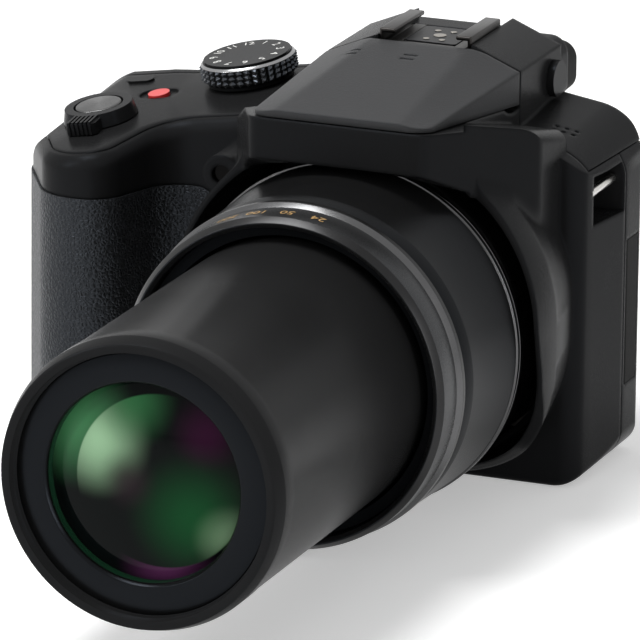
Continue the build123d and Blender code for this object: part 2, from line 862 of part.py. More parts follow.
with BuildPart() as flash_reflector:
    block((-window_half, -reflector_front, reflector_low), (window_half, -reflector_back, reflector_high))
    with BuildSketch(Plane.YZ.offset(-window_half + reflector_wall)) as trough:
        with BuildLine():
            Polyline(
                (-reflector_front - overrun, reflector_low + reflector_wall / 2),
                (-tube_y, tube_z - flash_tube_radius - reflector_wall / 4),
                (-reflector_back - reflector_wall, tube_z),
                (-tube_y, tube_z + flash_tube_radius + reflector_wall / 4),
                (-reflector_front - overrun, reflector_high - reflector_wall / 2),
                close=True,
            )
        make_face()
    extrude(trough.sketch, amount=2 * window_half - 2 * reflector_wall, mode=Mode.SUBTRACT)
    peg(Plane(origin=(-window_half, -tube_y, tube_z), x_dir=(0, 1, 0), z_dir=(1, 0, 0)), flash_tube_radius,
        2 * window_half, mode=Mode.SUBTRACT)

with BuildPart() as flash_tube:
    peg(Plane(origin=(-window_half, -tube_y, tube_z), x_dir=(0, 1, 0), z_dir=(1, 0, 0)), flash_tube_radius, 2 * window_half)

with BuildPart() as flash_hinge_pin:
    peg(hinge_plane(-ear_outer), pin_radius, 2 * ear_outer)

# Hot shoe

shoe_height = 4.1
shoe_lip = 3.6
shoe_side = 1.0
spring_width = 2.6
spring_thick = 0.4
spring_gap = 0.05
contact_radius = 0.7
contact_pitch = 3.6
contact_pad = 11.5
contact_height = 0.5

shoe_top = shoe_seat + shoe_height
with BuildPart() as hot_shoe:
    block((-shoe_width / 2, -shoe_front, shoe_seat), (shoe_width / 2, shoe_back, shoe_top))
    block(
        (-shoe_width / 2 + shoe_side, -front_face, shoe_seat + shoe_sheet), (shoe_width / 2 - shoe_side, front_face, shoe_top - shoe_side), Mode.SUBTRACT
    )
    block(
        (-shoe_width / 2 + shoe_lip, -front_face, shoe_seat + shoe_sheet), (shoe_width / 2 - shoe_lip, front_face, form_reach), Mode.SUBTRACT
    )

shoe_floor = shoe_seat + shoe_sheet
spring_inner = shoe_width / 2 - shoe_lip - spring_width / 3
with BuildPart() as shoe_spring:
    for x in (-spring_inner - spring_width, spring_inner):
        block((x, -shoe_front + overrun, shoe_floor), (x + spring_width, shoe_back - overrun, shoe_floor + spring_thick))
    block((-spring_inner - spring_width, -shoe_front + overrun, shoe_floor), (spring_inner + spring_width, -shoe_front + 2 * overrun, shoe_floor + spring_thick))

with BuildPart() as shoe_contacts:
    block((-contact_pad / 2, -shoe_front + 3 * overrun, shoe_floor), (contact_pad / 2, shoe_back - 2 * overrun, shoe_floor + contact_height), edge=contact_radius)
    with BuildSketch(Plane.XY.offset(shoe_floor + contact_height)) as discs:
        with Locations((0, (shoe_back - shoe_front) / 2)):
            Circle(2 * contact_radius)
            with GridLocations(contact_pitch, 2 * contact_pitch, 2, 2):
                Circle(contact_radius)
    extrude(discs.sketch, amount=contact_height / 4)

# Rear cover and what shows on it

glass_left = 33.0
glass_right = 38.0
glass_low = 6.0
glass_high = 62.0
glass_back = 16.9
glass_thick = 1.4
panel_inset = 2.0
panel_thick = 4.0
jack_door_low = 18.0
jack_door_high = 50.0
jack_door_front = 4.8
jack_door_back = 11.6
jack_door_thick = 1.7
jack_pin = 0.4
wheel_x = 62.0
wheel_y = 9.5
wheel_radius = 9.0
wheel_low = 62.0
wheel_thick = 4.0
wheel_slot = 7.6
wheel_pin = 1.5
shelf_side = 4.0
shelf_low = 59.5
shelf_thick = 1.8
pad_x = 58.0
pad_z = 30.0
pad_radius = 11.0
set_radius = 4.2
play_x = 46.0
play_z = 50.0
menu_x = 44.0
menu_z = 14.0
lock_x = 48.0
lock_z = 60.5
finder_x = 33.0
finder_z = 67.0
key_radius = 2.4
key_proud = 0.7
key_length = 3.0
key_flange = 0.8
key_travel = 0.4
rest_end = 68.0
rest_start = 13.6
rest_low = 36.0
rest_high = 57.0

KEYS = {
    "playback_button": (play_x, play_z),
    "menu_button": (menu_x, menu_z),
    "lock_button": (lock_x, lock_z),
    "viewfinder_button": (finder_x, finder_z),
}


def rear_plane(y, x, z):
    """Plane at a place of the back, facing backwards."""
    return Plane(origin=(x, y, z), x_dir=(-1, 0, 0), z_dir=(0, 1, 0))


def upright(x, y, z):
    """Level plane at a place."""
    return Plane((x, y, z))


def rest_form():
    """Pad that wraps the rear corner of the grip."""
    with BuildPart() as form:
        extrude(plan(-skin_depth), amount=rest_high)
        extrude(plan(), amount=rest_high, mode=Mode.SUBTRACT)
        block((-form_reach, -form_reach, 0), (form_reach, rest_start, form_reach), mode=Mode.SUBTRACT)
        block((-rest_end, 0, 0), (form_reach, form_reach, form_reach), mode=Mode.SUBTRACT)
        block((-form_reach, 0, 0), (form_reach, form_reach, rest_low), mode=Mode.SUBTRACT)
    return form.part


jack_axis_x = right_side - jack_door_thick / 2
jack_axis_y = jack_door_front + jack_door_thick / 2
side_lug_room = side_lug_x - lug_radius - lug_room

with BuildPart() as rear_cover:
    add(outer_body)
    add(hollow_body, mode=Mode.SUBTRACT)
    for x, y in post_places[2:]:
        block((x - post_side, y - post_side, wall), (x + post_side, back_face - wall / 2, screw_reach))
    block(
        (-grip_side, seam_plane + seam, side_lug_z - side_lug_tall - wall),
        (-side_lug_room + lug_wall, back_face, side_lug_z + side_lug_tall + wall),
    )
    block((-wheel_x - shelf_side, wheel_y - shelf_side, shelf_low), (-wheel_x + shelf_side, back_face - wall / 2, shelf_low + shelf_thick))
    add(outer_body, mode=Mode.INTERSECT)
    block((-form_reach, -form_reach, -overrun), (form_reach, seam_plane + seam, form_reach), mode=Mode.SUBTRACT)
    add(top_region(), mode=Mode.SUBTRACT)
    add(floor_openings.part, mode=Mode.SUBTRACT)
    with BuildSketch() as shanks:
        with Locations(*post_places[2:]):
            Circle(screw_radius)
    extrude(shanks.sketch, amount=screw_reach, mode=Mode.SUBTRACT)
    block((-glass_left - play, back_face - wall - overrun, glass_low - play), (glass_right + play, form_reach, glass_high + play), Mode.SUBTRACT)
    block(
        (jack_axis_x - jack_door_thick, jack_door_front - play, jack_door_low - play),
        (form_reach, jack_door_back + play, jack_door_high + play),
        Mode.SUBTRACT,
    )
    peg(upright(jack_axis_x, jack_axis_y, jack_door_low - 2 * jack_pin - play), jack_pin + fit,
        jack_door_high - jack_door_low + 4 * jack_pin + 2 * play, mode=Mode.SUBTRACT)
    block((-wheel_x - wheel_slot, back_face - wall - overrun, wheel_low - seam), (-wheel_x + wheel_slot, form_reach, wheel_low + wheel_thick + seam), Mode.SUBTRACT)
    peg(upright(-wheel_x, wheel_y, shelf_low), wheel_pin + fit, shelf_thick, mode=Mode.SUBTRACT)
    block(
        (-form_reach, side_lug_y - side_lug_half, side_lug_z - side_lug_tall), (-side_lug_room, side_lug_y + side_lug_half, side_lug_z + side_lug_tall), Mode.SUBTRACT
    )
    peg(on_y(side_lug_y + side_lug_half + lug_reach, -side_lug_x, side_lug_z), lug_radius, 2 * side_lug_half + 2 * lug_reach, mode=Mode.SUBTRACT)
    peg(rear_plane(back_face - 2 * wall, -pad_x, pad_z), pad_radius + play, 3 * wall, mode=Mode.SUBTRACT)
    for x, z in KEYS.values():
        peg(rear_plane(back_face - 2 * wall, -x, z), key_radius + fit, 3 * wall, mode=Mode.SUBTRACT)

with BuildPart() as strap_lugs:
    peg(on_y(lug_back + lug_reach, lug_x, lug_z), lug_radius, lug_front + lug_back + 2 * lug_reach)
    peg(on_y(side_lug_y + side_lug_half + lug_reach, -side_lug_x, side_lug_z), lug_radius, 2 * side_lug_half + 2 * lug_reach)

with BuildPart() as thumb_rest:
    add(rest_form())

with BuildPart() as screen_glass:
    block((-glass_left, glass_back - glass_thick, glass_low), (glass_right, glass_back, glass_high))

with BuildPart() as screen_panel:
    block(
        (panel_inset - glass_left, glass_back - glass_thick - panel_thick, glass_low + panel_inset),
        (glass_right - panel_inset, glass_back - glass_thick, glass_high - panel_inset),
    )

with BuildPart() as terminal_door:
    block((jack_axis_x - jack_door_thick / 2, jack_axis_y, jack_door_low), (right_side, jack_door_back, jack_door_high))
    peg(upright(jack_axis_x, jack_axis_y, jack_door_low), jack_door_thick / 2, jack_door_high - jack_door_low)
    peg(upright(jack_axis_x, jack_axis_y, jack_door_low - 2 * jack_pin), jack_pin, jack_door_high - jack_door_low + 4 * jack_pin)

wheel_notch = 0.5
wheel_notches = 40
with BuildPart() as rear_dial:
    peg(upright(-wheel_x, wheel_y, wheel_low), wheel_radius, wheel_thick)
    peg(upright(-wheel_x, wheel_y, shelf_low), wheel_pin, wheel_low - shelf_low)
    with BuildSketch(upright(-wheel_x, wheel_y, wheel_low)) as notches:
        with PolarLocations(wheel_radius, wheel_notches):
            Rectangle(wheel_notch, wheel_notch)
    extrude(notches.sketch, amount=wheel_thick, mode=Mode.SUBTRACT)

with BuildPart() as cursor_pad:
    peg(rear_plane(back_face - wall - fit, -pad_x, pad_z), pad_radius, wall + fit + key_proud, hole=set_radius + fit)
    peg(
        rear_plane(back_face - wall - fit - key_flange, -pad_x, pad_z), pad_radius + key_flange, key_flange,
        hole=set_radius + fit,
    )

with BuildPart() as set_button:
    peg(rear_plane(back_face - wall - key_flange, -pad_x, pad_z), set_radius, wall + key_flange + key_proud)

rear_keys = {}
for name, (x, z) in KEYS.items():
    with BuildPart() as key:
        peg(rear_plane(back_face - wall - fit, -x, z), key_radius, wall + fit + key_proud)
        peg(rear_plane(back_face - wall - fit - key_flange, -x, z), key_radius + key_flange, key_flange)
    rear_keys[name] = key

eyecup_half = 21.8
eyecup_low = 74.8
eyecup_high = 86.4
eyecup_thick = 6.7
eyecup_width = 24.0
eyecup_opening = 9.6
eyelens_front = 19.0
eyelens_back = 20.5
eyecup_corner = 4.0
with BuildPart() as eyecup:
    with BuildSketch(Plane.XZ.offset(-eyepiece_back)) as ring:
        with Locations((0, (eyecup_low + eyecup_high) / 2)):
            RectangleRounded(2 * eyecup_half, eyecup_high - eyecup_low, eyecup_corner)
            RectangleRounded(eyecup_width, eyecup_opening, eyecup_corner, mode=Mode.SUBTRACT)
    extrude(ring.sketch, amount=-eyecup_thick, taper=wall)

with BuildPart() as eyepiece_lens:
    with BuildSketch(Plane.XZ.offset(-eyelens_back)) as lens_face:
        with Locations((0, eyepiece_mid)):
            RectangleRounded(sight_width, sight_height, wall)
    extrude(lens_face.sketch, amount=eyelens_back - eyelens_front)

finder_half = 9.0
finder_front = 2.0
finder_low = 75.0
finder_high = 86.4
with BuildPart() as viewfinder_unit:
    block((-finder_half, -finder_front, finder_low), (finder_half, eyelens_front, finder_high))

diopter_radius = 4.0
diopter_reach = 1.6
with BuildPart() as diopter_dial:
    peg(Plane(origin=(hump_half + fit, diopter_y, diopter_z), x_dir=(0, 1, 0), z_dir=(1, 0, 0)), diopter_radius, diopter_reach)
    peg(Plane(origin=(hump_half - wall, diopter_y, diopter_z), x_dir=(0, 1, 0), z_dir=(1, 0, 0)), diopter_stem, wall + diopter_reach)

# Controls on the deck

lever_radius = 8.2
lever_hole = 5.5
lever_low = 0.25
lever_height = 3.0
lever_draft = 14.0  # degrees
tab_width = 7.0
tab_length = 4.6
tab_reach = 9.0
tab_rib = 0.5
button_radius = 5.1
button_low = 1.4
button_thick = 2.0
button_tail = 4.0
button_travel = 0.8
mode_radius = 10.7
mode_low = 1.1
mode_height = 3.8
mode_bevel = 0.5
mode_bevel_taper = 60.0  # degrees
mode_notches = 48
mode_notch = 0.45
mode_row = 0.35
cap_radius = 9.6
cap_thick = 0.5
switch_radius = 9.4
switch_low = 0.15
switch_thick = 0.75
switch_tab_width = 4.5
switch_tab_reach = 10.0
switch_tab_length = 2.6
movie_top = 0.3
small_tail = 3.0
small_flange = 0.6
burst_top = 0.5

lever_base = nose_plane(-button_x, -button_y, lever_low)
with BuildPart() as zoom_lever:
    with BuildSketch(lever_base) as ring:
        Circle(lever_radius)
    extrude(ring.sketch, amount=lever_height, taper=lever_draft)
    with BuildSketch(lever_base) as tab:
        with Locations((0, -tab_reach)):
            RectangleRounded(tab_width, tab_length, overrun)
    extrude(tab.sketch, amount=lever_height - tab_rib)
    with BuildSketch(lever_base) as ribs:
        with Locations((0, -tab_reach)):
            with GridLocations(2 * tab_rib, 0, 6, 1):
                Rectangle(tab_rib, tab_length + tab_rib)
    extrude(ribs.sketch, amount=lever_height)
    with BuildSketch(lever_base) as hole:
        Circle(lever_hole)
    extrude(hole.sketch, amount=2 * lever_height, mode=Mode.SUBTRACT)

with BuildPart() as shutter_button:
    peg(nose_plane(-button_x, -button_y, button_low), button_radius, button_thick)
    peg(nose_plane(-button_x, -button_y, -button_tail), button_stem, button_tail + button_low)
    top_rim = shutter_button.edges().filter_by(GeomType.CIRCLE).sort_by(Axis.Z)[-1]
    fillet(top_rim, button_thick / 4)

dial_low = roof_plane(-dial_x, dial_y, mode_low)
with BuildPart() as mode_dial:
    peg(dial_low, mode_radius, mode_height)
    with BuildSketch(dial_low.offset(mode_height)) as top:
        Circle(mode_radius)
    extrude(top.sketch, amount=mode_bevel, taper=mode_bevel_taper)
    peg(roof_plane(-dial_x, dial_y, -small_tail), dial_stem, small_tail + mode_low)
    with BuildSketch(dial_low) as notches:
        with PolarLocations(mode_radius, mode_notches):
            Rectangle(mode_notch, mode_notch)
    extrude(notches.sketch, amount=mode_height, mode=Mode.SUBTRACT)
    for row in (1, 2):
        peg(dial_low.offset(row * mode_height / 3), mode_radius + overrun, mode_row / 2, Mode.SUBTRACT, mode_radius - mode_row)

with BuildPart() as mode_dial_cap:
    peg(dial_low.offset(mode_height + mode_bevel), cap_radius, cap_thick)

with BuildPart() as power_switch:
    with BuildSketch(roof_plane(-dial_x, dial_y, switch_low)) as collar:
        Circle(switch_radius)
        with Locations((0, switch_tab_reach)):
            RectangleRounded(switch_tab_width, switch_tab_length, overrun)
        Circle(dial_stem + seam, mode=Mode.SUBTRACT)
    extrude(collar.sketch, amount=switch_thick)

with BuildPart() as movie_button:
    peg(nose_plane(-movie_x, movie_y, -small_tail), movie_radius, small_tail + movie_top)
    peg(nose_plane(-movie_x, movie_y, -small_tail), movie_radius + small_flange, small_flange)

with BuildPart() as burst_button:
    slab(nose_plane(-burst_x, burst_y, -small_tail), burst_length, burst_width, small_tail + burst_top, burst_width / 2 - fit)
    slab(
        nose_plane(-burst_x, burst_y, -small_tail), burst_length + small_flange, burst_width + small_flange, small_flange,
        burst_width / 2,
    )

# Inside the body

chassis_right = 38.0
chassis_low = 7.0
chassis_high = 55.0
chassis_thick = 1.5
sensor_hole = 14.0
standoff = 2.0
standoff_x = 30.0
standoff_low = 14.0
standoff_high = 52.0
board_front = 6.5
board_thick = 1.0
board_left = 52.0
board_right = 32.0
board_low = 8.0
chip_thick = 1.4
cell_left = 78.3
cell_right = 62.9
cell_front = 22.0
cell_back = 10.5
cell_low = 2.6
cell_high = 44.0
bay_wall = 1.0
bay_low = 2.3
bay_high = 46.0
bay_room = 0.3
card_left = 59.6
card_right = 57.5
card_front = 13.0
card_back = 11.0
card_high = 34.6
card_room = 0.4
jack_right = 39.5
jack_front = 5.0
jack_back = 11.0
motor_x = 43.5
motor_z = 20.0
motor_radius = 5.0
motor_front = 14.5
gear_half = 5.5
gear_low = 12.0
gear_high = 30.0
gear_front = 4.0
can_radius = 6.0
can_y = 6.2
can_low = 40.0
can_high = 66.0
sensor_width = 34.0
sensor_height = 30.0
sensor_thick = 1.0
chip_width = 12.0
chip_height = 10.0
chip_front = 0.5

card_bay = card_right - card_room - 2 * bay_wall
with BuildPart() as chassis:
    block((-card_bay, 0, chassis_low), (chassis_right, chassis_thick, chassis_high))
    for x in (-leg_x, leg_x):
        block((x - leg_half, leg_y - leg_half, wall), (x + leg_half, leg_y + leg_half, chassis_low + overrun))
    for x in (-standoff_x, standoff_x):
        for z in (standoff_low, standoff_high):
            peg(rear_plane(chassis_thick, x, z), standoff, board_front - chassis_thick)
    peg(on_y(chassis_thick + overrun, 0, lens_height), sensor_hole, chassis_thick + 2 * overrun, Mode.SUBTRACT)
    with BuildSketch() as shanks:
        with Locations((-leg_x, leg_y), (leg_x, leg_y)):
            Circle(screw_radius)
    extrude(shanks.sketch, amount=screw_reach, mode=Mode.SUBTRACT)

with BuildPart() as image_sensor:
    block(
        (-sensor_width / 2, chassis_thick, lens_height - sensor_height / 2),
        (sensor_width / 2, chassis_thick + sensor_thick, lens_height + sensor_height / 2),
    )
    block((-chip_width / 2, -chip_front, lens_height - chip_height / 2), (chip_width / 2, chassis_thick, lens_height + chip_height / 2))

with BuildPart() as main_board:
    block((-board_left, board_front, board_low), (board_right, board_front + board_thick, chassis_high))
    for x in (-board_left / 2, 0, board_right / 2):
        block(
            (x - chip_height / 2, board_front + board_thick, lens_height - chip_height / 2),
            (x + chip_height / 2, board_front + board_thick + chip_thick, lens_height + chip_height / 2),
        )

with BuildPart() as battery:
    block((-cell_left, -cell_front, cell_low), (-cell_right, cell_back, cell_high))

with BuildPart() as memory_card:
    block((-card_left, -card_front, cell_low), (-card_right, card_back, card_high))

cell_bay = cell_left + bay_room + bay_wall
with BuildPart() as battery_box:
    block(
        (-cell_bay, -cell_front - bay_room - bay_wall, bay_low),
        (-cell_right + bay_room + bay_wall, cell_back + bay_room + bay_wall, bay_high),
    )
    block(
        (-cell_right + bay_room, -card_front - card_room - bay_wall, bay_low),
        (-card_bay, card_back + card_room + bay_wall, card_high + card_room + 2 * bay_wall),
    )
    block((-cell_left - bay_room, -cell_front - bay_room, 0), (-cell_right + bay_room, cell_back + bay_room, cell_high + bay_room), Mode.SUBTRACT)
    block((-card_left - card_room, -card_front - card_room, 0), (-card_right + card_room, card_back + card_room, card_high + card_room), Mode.SUBTRACT)

with BuildPart() as terminal_jacks:
    for low, high in ((22.0, 30.0), (36.0, 45.0)):
        block((board_right, jack_front, low), (jack_right, jack_back, high))
        block((jack_right - gear_front, jack_front + overrun, low + overrun), (jack_right, jack_back - overrun, high - overrun), Mode.SUBTRACT)

with BuildPart() as zoom_motor:
    peg(on_y(0, -motor_x, motor_z), motor_radius, motor_front)
    block((-motor_x - gear_half, -gear_front, gear_low), (-motor_x + gear_half, 0, gear_high))

with BuildPart() as flash_capacitor:
    peg(Plane((-motor_x, -can_y, can_low)), can_radius, can_high - can_low)

# Lens, from the outside in

collar_bore = 33.4
collar_radius = 35.8
collar_wide = 36.4
collar_edge = 36.6
collar_band = 79.0
collar_step = 77.5
collar_back = 76.5
groove_radius = 35.4
groove_back = 75.5
flange_back = 72.0
sleeve_back = 49.0
sleeve_radius = 36.4
sleeve_wide = 37.2
double_back = 46.5
double_radius = 37.6
dark_back = 44.0
dark_radius = 36.8
trunk_back = 40.0
trunk_radius = 35.6
plate_front = 9.0
plate_bore = 25.0
rear_radius = 27.0
rear_bore = 15.0
cam_outer = 33.2
cam_inner = 30.9
cam_front = 84.0
cam_back = 9.5
lip_radius = 29.2
lip_front_radius = 30.4
lip_back = 160.0
lip_band = 155.0
thread_radius = 27.5
name_depth = 1.4
name_bore = 20.7
name_seat = 27.0
name_gap = 0.1
cell_web_back = 150.0
cell_web_front = 159.4
glass_radius = 21.5
glass_apex = 160.7
glass_back_y = 152.0
glass_curve = 70.0
ledge_bore = 19.5
group_radius = 24.0
group_front = 70.0
group_rear = 60.0
iris_front = 34.0
iris_rear = 26.0
focus_front = 14.0
focus_rear = 9.5
rod_radius = 1.0
rod_x = 22.0
rod_front = 77.0
group_bore = 16.0

with BuildPart() as fixed_barrel:
    profile = [
        (-collar_back, barrel_bore),
        (-collar_back, groove_radius),
        (-groove_back, groove_radius),
        (-groove_back, groove_radius + play),
        (-flange_back, sleeve_radius),
        (-sleeve_back, sleeve_wide),
        (-sleeve_back, double_radius),
        (-double_back, double_radius),
        (-double_back, dark_radius),
        (-dark_back, dark_radius),
        (-trunk_back, trunk_radius),
        (-barrel_back, trunk_radius),
        (-barrel_back, rear_radius),
        (0, rear_radius),
        (0, rear_bore),
        (-barrel_back, rear_bore),
        (-barrel_back, plate_bore),
        (-plate_front, plate_bore),
        (-plate_front, barrel_bore),
    ]
    revolve(half_section(profile), axis=LENS_AXIS)
    for x in (-rod_x, rod_x):
        peg(on_y(0, x, lens_height), rod_radius, plate_front + overrun, Mode.SUBTRACT)

with BuildPart() as barrel_ring:
    profile = [
        (-barrel_front, collar_bore),
        (-barrel_front, collar_radius),
        (-collar_band, collar_wide),
        (-collar_band, collar_edge),
        (-collar_step, collar_edge),
        (-collar_back, groove_radius),
        (-collar_back, collar_bore),
    ]
    revolve(half_section(profile), axis=LENS_AXIS)

with BuildPart() as cam_barrel:
    profile = [(-cam_front, cam_inner), (-cam_front, cam_outer), (-cam_back, cam_outer), (-cam_back, cam_inner)]
    revolve(half_section(profile), axis=LENS_AXIS)

tube_back = tube_front - tube_length
with BuildPart() as zoom_barrel:
    profile = [
        (-tube_front, thread_radius),
        (-tube_front, lip_radius),
        (-lip_back, lip_front_radius),
        (-lip_band, lip_front_radius),
        (-lip_band, tube_radius),
        (-tube_back, tube_radius),
        (-tube_back, tube_bore),
        (-cell_web_back, tube_bore),
        (-cell_web_back, ledge_bore),
        (-glass_back_y, ledge_bore),
        (-glass_back_y, glass_radius + fit),
        (-cell_web_front, glass_radius + fit),
        (-cell_web_front, name_seat),
        (-cell_web_front - name_depth, name_seat),
        (-cell_web_front - name_depth, thread_radius),
    ]
    revolve(half_section(profile), axis=LENS_AXIS)

with BuildPart() as name_ring:
    profile = [
        (-cell_web_front - name_depth, name_bore),
        (-cell_web_front - name_depth, name_seat - name_gap),
        (-cell_web_front, name_seat - name_gap),
        (-cell_web_front, name_bore),
    ]
    revolve(half_section(profile), axis=LENS_AXIS)

glass_edge = glass_apex - glass_curve + (glass_curve**2 - glass_radius**2) ** 0.5
with BuildPart() as front_element:
    with BuildSketch(LENS) as section:
        with BuildLine():
            ThreePointArc(
                (-glass_apex, 0),
                (-glass_apex + glass_curve - (glass_curve**2 - glass_radius**2 / 4) ** 0.5, glass_radius / 2),
                (-glass_edge, glass_radius),
            )
            Polyline(
                (-glass_edge, glass_radius),
                (-glass_back_y, glass_radius),
                (-glass_back_y, 0),
                (-glass_apex, 0),
            )
        make_face()
    revolve(section.sketch, axis=LENS_AXIS)


def lens_group(front, rear, bore_radius):
    """Glass in a round cell that slides on the two rods."""
    with BuildPart() as group:
        profile = [(-front, 0), (-front, group_radius), (-rear, group_radius), (-rear, 0)]
        revolve(half_section(profile), axis=LENS_AXIS)
        peg(on_y(-front + overrun, 0, lens_height), bore_radius, 2 * overrun, Mode.SUBTRACT)
        for x in (-rod_x, rod_x):
            peg(on_y(-rear + overrun, x, lens_height), rod_radius + fit, front - rear + 2 * overrun, Mode.SUBTRACT)
    return group


zoom_group = lens_group(group_front, group_rear, group_bore)
aperture_unit = lens_group(iris_front, iris_rear, group_bore / 2)
focus_group = lens_group(focus_front, focus_rear, group_bore)

with BuildPart() as guide_rods:
    for x in (-rod_x, rod_x):
        peg(on_y(-barrel_back, x, lens_height), rod_radius, rod_front - barrel_back)

pieces = {
    "front_shell": front_shell,
    "rear_cover": rear_cover,
    "top_cover": top_cover,
    "base_plate": base_plate,
    "chassis": chassis,
    "grip_rubber": grip_rubber,
    "thumb_rest": thumb_rest,
    "tripod_socket": tripod_socket,
    "case_screws": case_screws,
    "flash_cover": flash_cover,
    "flash_reflector": flash_reflector,
    "flash_window": flash_window,
    "flash_tube": flash_tube,
    "flash_hinge_pin": flash_hinge_pin,
    "flash_capacitor": flash_capacitor,
    "hot_shoe": hot_shoe,
    "shoe_spring": shoe_spring,
    "shoe_contacts": shoe_contacts,
    "strap_lugs": strap_lugs,
    "shutter_button": shutter_button,
    "zoom_lever": zoom_lever,
    "mode_dial": mode_dial,
    "mode_dial_cap": mode_dial_cap,
    "power_switch": power_switch,
    "movie_button": movie_button,
    "burst_button": burst_button,
    "rear_dial": rear_dial,
    "cursor_pad": cursor_pad,
    "set_button": set_button,
    **rear_keys,
    "screen_panel": screen_panel,
    "screen_glass": screen_glass,
    "eyecup": eyecup,
    "eyepiece_lens": eyepiece_lens,
    "viewfinder_unit": viewfinder_unit,
    "diopter_dial": diopter_dial,
    "battery_door": battery_door,
    "door_latch": door_latch,
    "battery": battery,
    "battery_box": battery_box,
    "memory_card": memory_card,
    "terminal_door": terminal_door,
    "terminal_jacks": terminal_jacks,
    "main_board": main_board,
    "image_sensor": image_sensor,
    "fixed_barrel": fixed_barrel,
    "barrel_ring": barrel_ring,
    "cam_barrel": cam_barrel,
    "zoom_barrel": zoom_barrel,
    "name_ring": name_ring,
    "front_element": front_element,
    "zoom_group": zoom_group,
    "aperture_unit": aperture_unit,
    "focus_group": focus_group,
    "zoom_motor": zoom_motor,
    "guide_rods": guide_rods,
    "af_lamp": af_lamp,
}
for name, piece in pieces.items():
    piece.part.label = name
    export_step(piece.part, f"parts/{name}.step")
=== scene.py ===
"""Looks of a bridge camera: moulded black plastic, leather-grained grip, satin lens barrel."""

import json
from math import cos, hypot, pi, radians, sin, sqrt

import bmesh
import bpy
from mathutils import Matrix, Vector

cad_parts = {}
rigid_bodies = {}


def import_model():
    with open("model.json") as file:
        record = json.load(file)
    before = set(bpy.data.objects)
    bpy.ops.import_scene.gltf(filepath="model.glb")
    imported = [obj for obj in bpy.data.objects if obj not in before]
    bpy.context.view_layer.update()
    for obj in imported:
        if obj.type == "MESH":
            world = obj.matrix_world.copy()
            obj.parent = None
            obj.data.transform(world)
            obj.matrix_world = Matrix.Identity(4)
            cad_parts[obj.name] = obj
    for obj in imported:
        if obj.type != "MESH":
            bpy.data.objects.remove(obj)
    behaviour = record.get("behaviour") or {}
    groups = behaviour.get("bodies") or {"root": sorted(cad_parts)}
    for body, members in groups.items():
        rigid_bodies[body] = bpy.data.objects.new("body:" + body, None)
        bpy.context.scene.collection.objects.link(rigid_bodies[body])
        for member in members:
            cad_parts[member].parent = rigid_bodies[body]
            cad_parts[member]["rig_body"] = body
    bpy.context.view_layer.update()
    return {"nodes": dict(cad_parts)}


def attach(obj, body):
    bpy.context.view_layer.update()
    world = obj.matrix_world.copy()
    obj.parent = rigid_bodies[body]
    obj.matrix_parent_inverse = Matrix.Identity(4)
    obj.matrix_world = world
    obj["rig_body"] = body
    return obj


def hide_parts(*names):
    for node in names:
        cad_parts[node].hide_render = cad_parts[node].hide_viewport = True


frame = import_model()

MM = 0.001
CRISP = 28.0  # degrees of turn past which an edge is shaded sharp
ROUNDED = 40.0  # the same for a piece whose curved faces are coarse
LENS_HEIGHT = 38.5  # of the lens's axis over the table, in millimetres

# what a turned piece is spun round: origin, then across, along and up from the axis
LENS_AXIS = (Vector((0, 0, LENS_HEIGHT)) * MM, Vector((1, 0, 0)), Vector((0, 1, 0)), Vector((0, 0, 1)))
MODE_CENTRE = Vector((-46.0, 8.0, 75.41)) * MM
DECK_UP = Vector((-0.1595, -0.0787, 1.0)).normalized()
DECK_SIDE = Vector((1.0, 0.0, 0.1595)).normalized()
DECK_BACK = DECK_UP.cross(DECK_SIDE).normalized()
MODE_AXIS = (MODE_CENTRE, DECK_SIDE, DECK_UP, DECK_BACK)

# ---- nodes ----


class Number:
    """A socket whose sums, differences and products add maths nodes to its tree."""

    def __init__(self, nodes, socket):
        self.nodes = nodes
        self.socket = socket

    def math(self, operation, *others):
        return self.nodes.node("ShaderNodeMath", {"operation": operation}, dict(enumerate((self, *others))))

    def __add__(self, other):
        return self.math("ADD", other)

    def __sub__(self, other):
        return self.math("SUBTRACT", other)

    def __rsub__(self, other):
        return (self * -1.0) + other

    def __mul__(self, other):
        return self.math("MULTIPLY", other)

    def between(self, none, full):
        """0 at none and 1 at full, smooth in between; either may be the larger one."""
        sockets = {"Value": self, "From Min": none, "From Max": full}
        return self.nodes.node("ShaderNodeMapRange", {"interpolation_type": "SMOOTHSTEP"}, sockets)

    __radd__ = __add__
    __rmul__ = __mul__


class Nodes:
    """A node tree, and the method that adds each of its nodes."""

    def __init__(self, tree):
        self.tree = tree

    def node(self, kind, settings, sockets, output=0):
        made = self.tree.nodes.new(kind)
        for key, value in settings.items():
            setattr(made, key, value)
        for key, value in sockets.items():
            self.feed(made.inputs[key], value)
        return Number(self, made.outputs[output])

    def feed(self, socket, value):
        if isinstance(value, Number):
            self.tree.links.new(value.socket, socket)
        else:
            socket.default_value = value

    def vector(self, operation, *values, output="Vector"):
        return self.node("ShaderNodeVectorMath", {"operation": operation}, dict(enumerate(values)), output)

    def seen(self):
        """1 for rays of the camera, of metal and of glass, which see the white background, and 0 for light."""
        camera, glossy, through = (
            self.node("ShaderNodeLightPath", {}, {}, kind)
            for kind in ("Is Camera Ray", "Is Glossy Ray", "Is Transmission Ray")
        )
        return (camera + glossy + through).between(0.0, 1.0)


